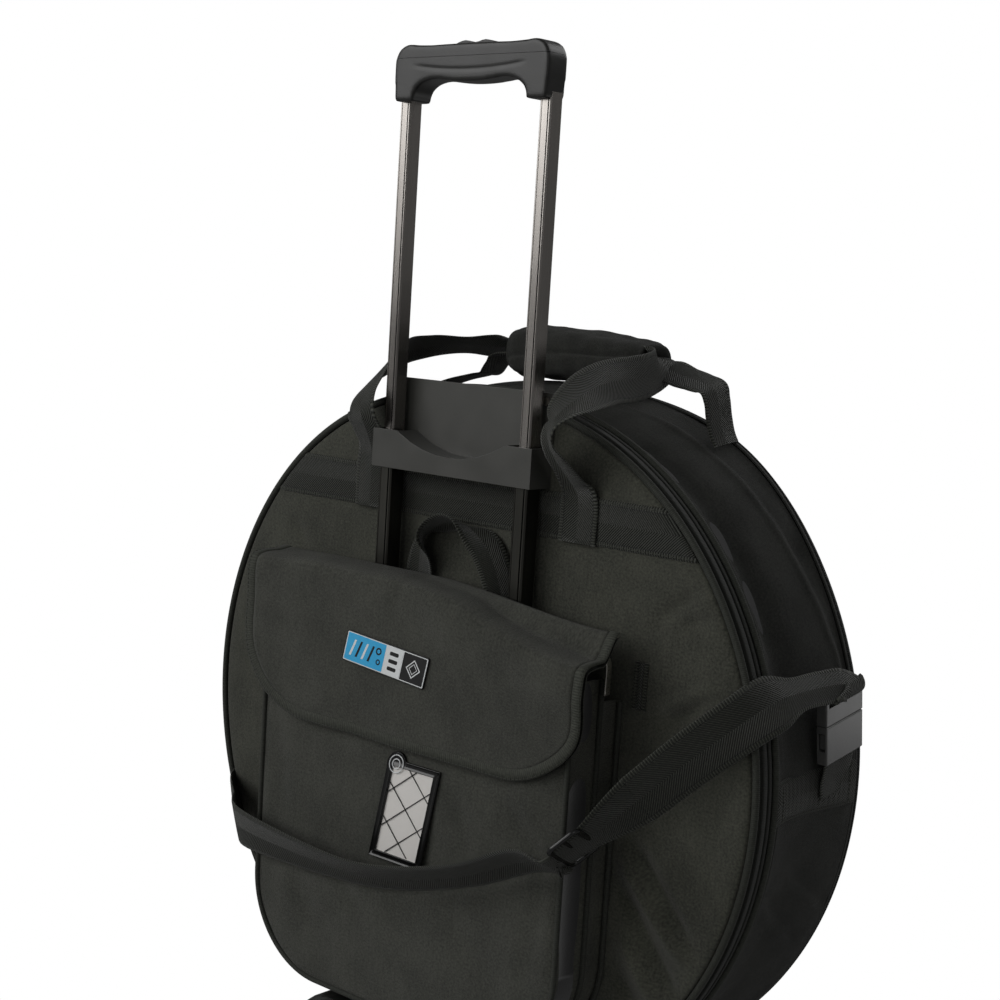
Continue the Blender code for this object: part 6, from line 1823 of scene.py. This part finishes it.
def addCard(halfWidth, halfHeight):
    columns, rows = np.linspace(-halfWidth, halfWidth, 12), np.linspace(-halfHeight, halfHeight, 16)
    x, z = np.meshgrid(columns, rows, indexing="ij")
    px, pz = sheared(x, z)
    y = np.full_like(px, windowFrame["back"] - 0.0005) - 0.0003 * np.sin(x / halfWidth * 1.5)
    parts = Patchwork()
    points = np.stack([px, y, pz], -1)
    parts.grid(points, np.stack([x, z], -1), 0, flip=True)
    obj = parts.build("nameCard", [card])
    finishPiece(obj, "case", ["name_card"])
    parts = Patchwork()
    for run in (-1, 1):
        for start in (-1.22, -0.42, 0.38):
            ends = []
            for share in np.linspace(0, 1, 40):
                x = halfWidth * (2 * share - 1) * run
                z = halfHeight * (start + 1.05 * share)
                if abs(z) <= halfHeight and abs(x) <= halfWidth:
                    px, pz = sheared(x, z)
                    ends.append((px, windowFrame["back"] - 0.0011, pz))
            if len(ends) > 2:
                addCord(parts, ends, 0.00045, sides=6)
    lines = parts.build("cardLines", [labelBlack])
    finishPiece(lines, "case", [])
# The grip: a soft-edged moulding on the two inner tubes, with a seam under its cover

grip = {
    "legHalf": 0.0862,
    "shoulderHalf": 0.0880,
    "inner": 0.0655,
    "archReach": 0.030,
    "archRise": 0.0185,
    "belly": 0.0030,
    "hump": 0.0010,
    "sag": 0.0006,
    "shoulder": 0.0165,
    "voxel": 0.0011,
    "rounding": 30,
    "seam": 0.00016,
    "roll": 0.0005,
    "slotGap": 0.0004,
}


# Half of the grip's outline seen from the front, from the bottom of the belly to the top middle.
def gripHalf(low, high):
    barLow = low + grip["archRise"]
    inner = grip["inner"]
    line = [(x, barLow - grip["belly"] * share) for x, share in ((0, 1), (0.010, 0.94), (0.022, 0.6))]
    for turn in np.linspace(88, 0, 14):
        c, s = math.cos(math.radians(turn)), math.sin(math.radians(turn))
        line.append((inner - grip["archReach"] * (1 - c**0.85), low + grip["archRise"] * s**0.85))
    line += [(inner + 0.001, low), (grip["legHalf"], low), (grip["shoulderHalf"], low + 0.022)]
    radius = grip["shoulder"]
    for turn in np.linspace(0, 90, 10):
        c, s = math.cos(math.radians(turn)), math.sin(math.radians(turn))
        line.append((grip["shoulderHalf"] - radius * (1 - c), high + grip["hump"] - radius * (1 - s)))
    line += [(0.060, high), (0.046, high - grip["sag"]), (0.030, high - grip["sag"] / 2), (0, high)]
    return line


def gripSolid():
    low, high = extent("grip_body")
    half = gripHalf(low[2], extent("grip_cover")[1][2])
    outline = half + [(-x, z) for x, z in half[-2:0:-1]]
    mesh = bmesh.new()
    front = [mesh.verts.new((caseX + x, low[1], z)) for x, z in outline]
    back = [mesh.verts.new((caseX + x, high[1], z)) for x, z in outline]
    mesh.faces.new(front)
    mesh.faces.new(back[::-1])
    for i in range(len(outline)):
        j = (i + 1) % len(outline)
        mesh.faces.new((front[j], front[i], back[i], back[j]))
    bmesh.ops.recalc_face_normals(mesh, faces=mesh.faces)
    bmesh.ops.triangulate(mesh, faces=[f for f in mesh.faces if len(f.verts) > 4])
    solid = newObject("gripSolid", mesh, [moulded])
    remesh = solid.modifiers.new("voxels", "REMESH")
    remesh.mode = "VOXEL"
    remesh.voxel_size = grip["voxel"]
    smooth = solid.modifiers.new("soft edges", "SMOOTH")
    smooth.factor = 0.5
    smooth.iterations = grip["rounding"]
    return settle(solid)


# The fingers' roll: a shallow furrow along the bar above its rounded lower edge.
def rollGrip(obj):
    low, high = extent("grip_body")
    count = len(obj.data.vertices)
    places = np.empty(count * 3)
    obj.data.vertices.foreach_get("co", places)
    places = places.reshape(-1, 3)
    x, y, z = places[:, 0] - caseX, places[:, 1], places[:, 2]
    line = low[2] + grip["archRise"] + 0.0072 + 0.004 * (x / 0.06) ** 2
    reach = 1 - smoothStep(abs(x), 0.052, 0.068)
    furrow = np.exp(-(((z - line) / 0.0016) ** 2)) * reach
    front = smoothStep((low[1] + high[1]) / 2 - y, 0.004, 0.012)
    places[:, 1] = y + grip["roll"] * furrow * front
    obj.data.vertices.foreach_set("co", places.ravel())


def gripPart(solid, name, node, seam, keepAbove, slot=None):
    mesh = bmesh.new()
    mesh.from_mesh(solid.data)
    height = seam + (grip["seam"] if keepAbove else -grip["seam"])
    geometry = mesh.verts[:] + mesh.edges[:] + mesh.faces[:]
    cutting = bmesh.ops.bisect_plane(
        mesh,
        geom=geometry,
        plane_co=(0, 0, height),
        plane_no=(0, 0, 1),
        clear_inner=keepAbove,
        clear_outer=not keepAbove,
    )
    edges = [item for item in cutting["geom_cut"] if isinstance(item, bmesh.types.BMEdge)]
    bmesh.ops.holes_fill(mesh, edges=edges)
    piece = newObject(name, mesh, [moulded])
    if slot:
        cutter = bmesh.new()
        bmesh.ops.create_cube(cutter, size=1, matrix=slot)
        tool = newObject("slotCutter", cutter, [moulded])
        cut = piece.modifiers.new("slot", "BOOLEAN")
        cut.operation = "DIFFERENCE"
        cut.solver = "EXACT"
        cut.object = tool
        settle(piece)
        bpy.data.objects.remove(tool)
    finishPiece(piece, "handle", [node])


def buildGrip():
    solid = gripSolid()
    rollGrip(solid)
    seam = (extent("grip_body")[1][2] + extent("grip_cover")[0][2]) / 2
    low, high = extent("release_button")
    gap = grip["slotGap"]
    size = high - low + 2 * gap
    middle = (low + high) / 2
    slot = Matrix.Translation(middle) @ Matrix.Diagonal((size[0], size[1], size[2] + 0.02, 1))
    gripPart(solid, "gripBody", "grip_body", seam, False)
    gripPart(solid, "gripCover", "grip_cover", seam, True, slot)
    bpy.data.objects.remove(solid)


# The finger cut's shelf, which runs back from the cup's front wall to its rear plate.
cupShelf = {
    "half": 0.0635,
    "depth": 0.018,
    "thick": 0.0022,
    "steps": 48,
    "frontHeight": 0.0345,
    "inset": 0.0030,
}


def buildCupShelf():
    low, high = extent("handle_cup")
    top = low[2] + cupShelf["frontHeight"]
    half, deep = cupShelf["half"], cupShelf["depth"]
    sag = (half**2 + deep**2) / (2 * deep)
    x = np.linspace(-half, half, cupShelf["steps"])
    z = top - deep + sag - np.sqrt(sag**2 - x**2) - 0.0001
    y = (low[1] + cupShelf["inset"], high[1] - cupShelf["inset"])
    mesh = bmesh.new()
    rows = []
    for dy in y:
        for dz in (0, -cupShelf["thick"]):
            rows.append([mesh.verts.new((caseX + a, dy, b + dz)) for a, b in zip(x, z)])
    frontTop, frontLow, backTop, backLow = rows
    for a, b in ((frontTop, backTop), (backTop, backLow), (backLow, frontLow), (frontLow, frontTop)):
        for i in range(len(a) - 1):
            mesh.faces.new((a[i], a[i + 1], b[i + 1], b[i]))
    for i in (0, -1):
        mesh.faces.new((frontTop[i], backTop[i], backLow[i], frontLow[i]))
    bmesh.ops.recalc_face_normals(mesh, faces=mesh.faces)
    finishPiece(newObject("cupShelf", mesh, [satin]), "case")




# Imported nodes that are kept: their materials, with small radii on the moulded ones

kept = (
    ("frame_board", board, 0.0),
    ("outer_tube_left", blackAnodised, 0.0),
    ("outer_tube_right", blackAnodised, 0.0),
    ("inner_tube_left", anodised, 0.0),
    ("inner_tube_right", anodised, 0.0),
    ("tube_plug_left", nylon, 0.0),
    ("tube_plug_right", nylon, 0.0),
    ("lock_pin_left", steel, 0.0),
    ("lock_pin_right", steel, 0.0),
    ("guide_bush_left", nylon, 0.0),
    ("guide_bush_right", nylon, 0.0),
    ("handle_cup", satin, 0.0010),
    ("cup_screw_left", steel, 0.0),
    ("cup_screw_right", steel, 0.0),
    ("button_spring", steel, 0.0),
    ("release_yoke", nylon, 0.0),
    ("wheel_housing", moulded, 0.0012),
    ("wheel_hub_left", satin, 0.0004),
    ("wheel_hub_right", satin, 0.0004),
    ("wheel_tyre_left", rubber, 0.0),
    ("wheel_tyre_right", rubber, 0.0),
    ("wheel_axle", steel, 0.0),
    ("base_tray", moulded, 0.0012),
    ("release_button", moulded, 0.0006),
    ("buckle_socket_left", buckleSheenGrey, 0.0008),
    ("buckle_socket_right", buckleSheenGrey, 0.0008),
    ("buckle_plug_left", buckleSheenGrey, 0.0005),
    ("buckle_plug_right", buckleSheenGrey, 0.0005),
    ("front_zip_slider", steel, 0.0002),
    ("rear_zip_slider_upper", steel, 0.0002),
    ("rear_zip_slider_lower", steel, 0.0002),
)


# The pocket's slider sits low in the sagging corner of the pocket, with its pull hanging at the side.
pocketPull = {"sink": 0.017, "body": (0.006, 0.009, 0.006), "pull": (0.013, 0.034, 0.0075, 0.0016)}


def buildPocketSlider():
    low, high = extent("pocket_zip_slider")
    middle = (low + high) / 2
    top = high[2] - pocketPull["sink"]
    half, width, thick = pocketPull["body"]
    reach, fall, pullWidth, pullThick = pocketPull["pull"]
    parts = Patchwork()
    run = np.linspace([middle[0] - half, middle[1], top], [middle[0] + half, middle[1], top], 4)
    addStrap(parts, run, np.tile((0.0, 1.0, 0.0), (4, 1)), width, thick)
    start = run[-1] + [-0.002, 0, 0]
    bends = ((0, 0), (reach * 0.6, -0.002), (reach, -0.010), (reach, -fall))
    hang = smoothPath([start + [x, 0, z] for x, z in bends], 5)
    addStrap(parts, hang, np.tile((0.0, 1.0, 0.0), (len(hang), 1)), pullWidth, pullThick)
    obj = parts.build("pocketSlider", [steel])
    finishPiece(obj, "pocket_slider", ["pocket_zip_slider"])


def dressKeptNodes():
    for name, material, edge in kept:
        keep(name, material, edge)


# Stage, lights and camera


def buildStage():
    mesh = bmesh.new()
    size = 60
    corners = [(-size, -size, 0), (size, -size, 0), (size, size, 0), (-size, size, 0)]
    mesh.faces.new([mesh.verts.new((x, y, z - 0.0005)) for x, y, z in corners])
    material = bpy.data.materials.new("white floor")
    material.use_nodes = True
    tree = material.node_tree
    tree.nodes.clear()
    path = addNode(tree, "ShaderNodeLightPath")
    white = addNode(tree, "ShaderNodeEmission", {"Color": (1, 1, 1, 1), "Strength": 1.0})
    pale = addNode(tree, "ShaderNodeBsdfDiffuse", {"Color": (0.40, 0.40, 0.40, 1)})
    chosen = {0: path.outputs["Is Camera Ray"], 1: pale.outputs[0], 2: white.outputs[0]}
    mixed = addNode(tree, "ShaderNodeMixShader", chosen)
    out = addNode(tree, "ShaderNodeOutputMaterial")
    tree.links.new(mixed.outputs[0], out.inputs[0])
    floor = newObject("floor", mesh, [material])


def addArea(name, place, aim, size, power, colour=(1, 1, 1)):
    light = bpy.data.lights.new(name, "AREA")
    light.shape = "RECTANGLE"
    light.size, light.size_y = size
    light.energy = power
    light.color = colour
    obj = bpy.data.objects.new(name, light)
    obj.location = place
    obj.rotation_euler = (Vector(aim) - Vector(place)).to_track_quat("-Z", "Y").to_euler()
    bpy.context.scene.collection.objects.link(obj)
    return obj


def buildLights():
    world = bpy.data.worlds.new("studio")
    bpy.context.scene.world = world
    world.use_nodes = True
    tree = world.node_tree
    tree.nodes.clear()
    path = addNode(tree, "ShaderNodeLightPath")
    seen = addNode(tree, "ShaderNodeBackground", {"Color": (1, 1, 1, 1), "Strength": 1.0})
    felt = addNode(tree, "ShaderNodeBackground", {"Color": (1, 1, 1, 1), "Strength": 0.13})
    chosen = {0: path.outputs["Is Camera Ray"], 1: felt.outputs[0], 2: seen.outputs[0]}
    mixed = addNode(tree, "ShaderNodeMixShader", chosen)
    out = addNode(tree, "ShaderNodeOutputWorld")
    tree.links.new(mixed.outputs[0], out.inputs[0])
    aim = (0, 0, 0.45)
    addArea("key", (-2.0, -3.1, 2.25), aim, (3.2, 2.6), 76)
    addArea("front", (0.4, -3.3, 1.2), aim, (1.6, 1.2), 9)
    addArea("right", (3.0, -1.2, 1.9), aim, (1.4, 1.8), 7)
    addArea("rear", (0.6, 2.8, 2.6), aim, (2.2, 1.4), 22)
    addArea("low right", (1.15, 1.45, 0.22), (0.33, 0.05, 0.38), (0.8, 0.42), 1.1)


cameraSettings = {"azimuth": 40.7, "pitch": 6.9, "roll": 3.5, "lens": 64.8, "place": (1.0576, -1.2064, 0.751)}


def buildCamera():
    azimuth, pitch, roll = [math.radians(cameraSettings[key]) for key in ("azimuth", "pitch", "roll")]
    level = math.cos(pitch)
    forward = Vector((-math.sin(azimuth) * level, math.cos(azimuth) * level, -math.sin(pitch)))
    right = forward.cross(Vector((0, 0, 1))).normalized()
    up = right.cross(forward)
    turnedRight = right * math.cos(roll) + up * math.sin(roll)
    turnedUp = up * math.cos(roll) - right * math.sin(roll)
    data = bpy.data.cameras.new("camera")
    data.sensor_width = 36
    data.lens = cameraSettings["lens"]
    camera = bpy.data.objects.new("camera", data)
    camera.matrix_world = Matrix.Translation(cameraSettings["place"]) @ Matrix(
        (turnedRight, turnedUp, -forward)
    ).transposed().to_4x4()
    bpy.context.scene.collection.objects.link(camera)
    bpy.context.scene.camera = camera
    bpy.context.scene.view_settings.view_transform = "Standard"


def removeHelpers():
    for obj in (stitchBar, coilBar):
        bpy.data.objects.remove(obj)


print("camera and lights")
buildCamera()
buildStage()
buildLights()
print("case")
buildFrontPanel()
buildFrontBand()
buildMainBand()
low, high = extent("front_piping")
pipingRadius = shell["frontBandRadius"] - shell["frontPipingInset"]
buildPiping("frontPiping", "front_piping", pipingRadius, (low[1] + high[1]) / 2, "case", 0.0)
low, high = extent("middle_piping")
pipingRadius = shell["middlePipingRadius"]
buildPiping("middlePiping", "middle_piping", pipingRadius, (low[1] + high[1]) / 2, "case", 0.0)
buildZips()
buildLid()
buildInnerPads()
print("pocket")
buildPocket()
buildFlap()
buildLabel()
buildWindow()
print("straps")
buildFrontWebbing()
buildSideTab()
buildHandles()
buildWrap()
buildAnchors()
buildShoulderStrap()
buildAdjuster()
buildPocketSlider()
print("grip and cup")
buildGrip()
buildCupShelf()
dressKeptNodes()
removeHelpers()
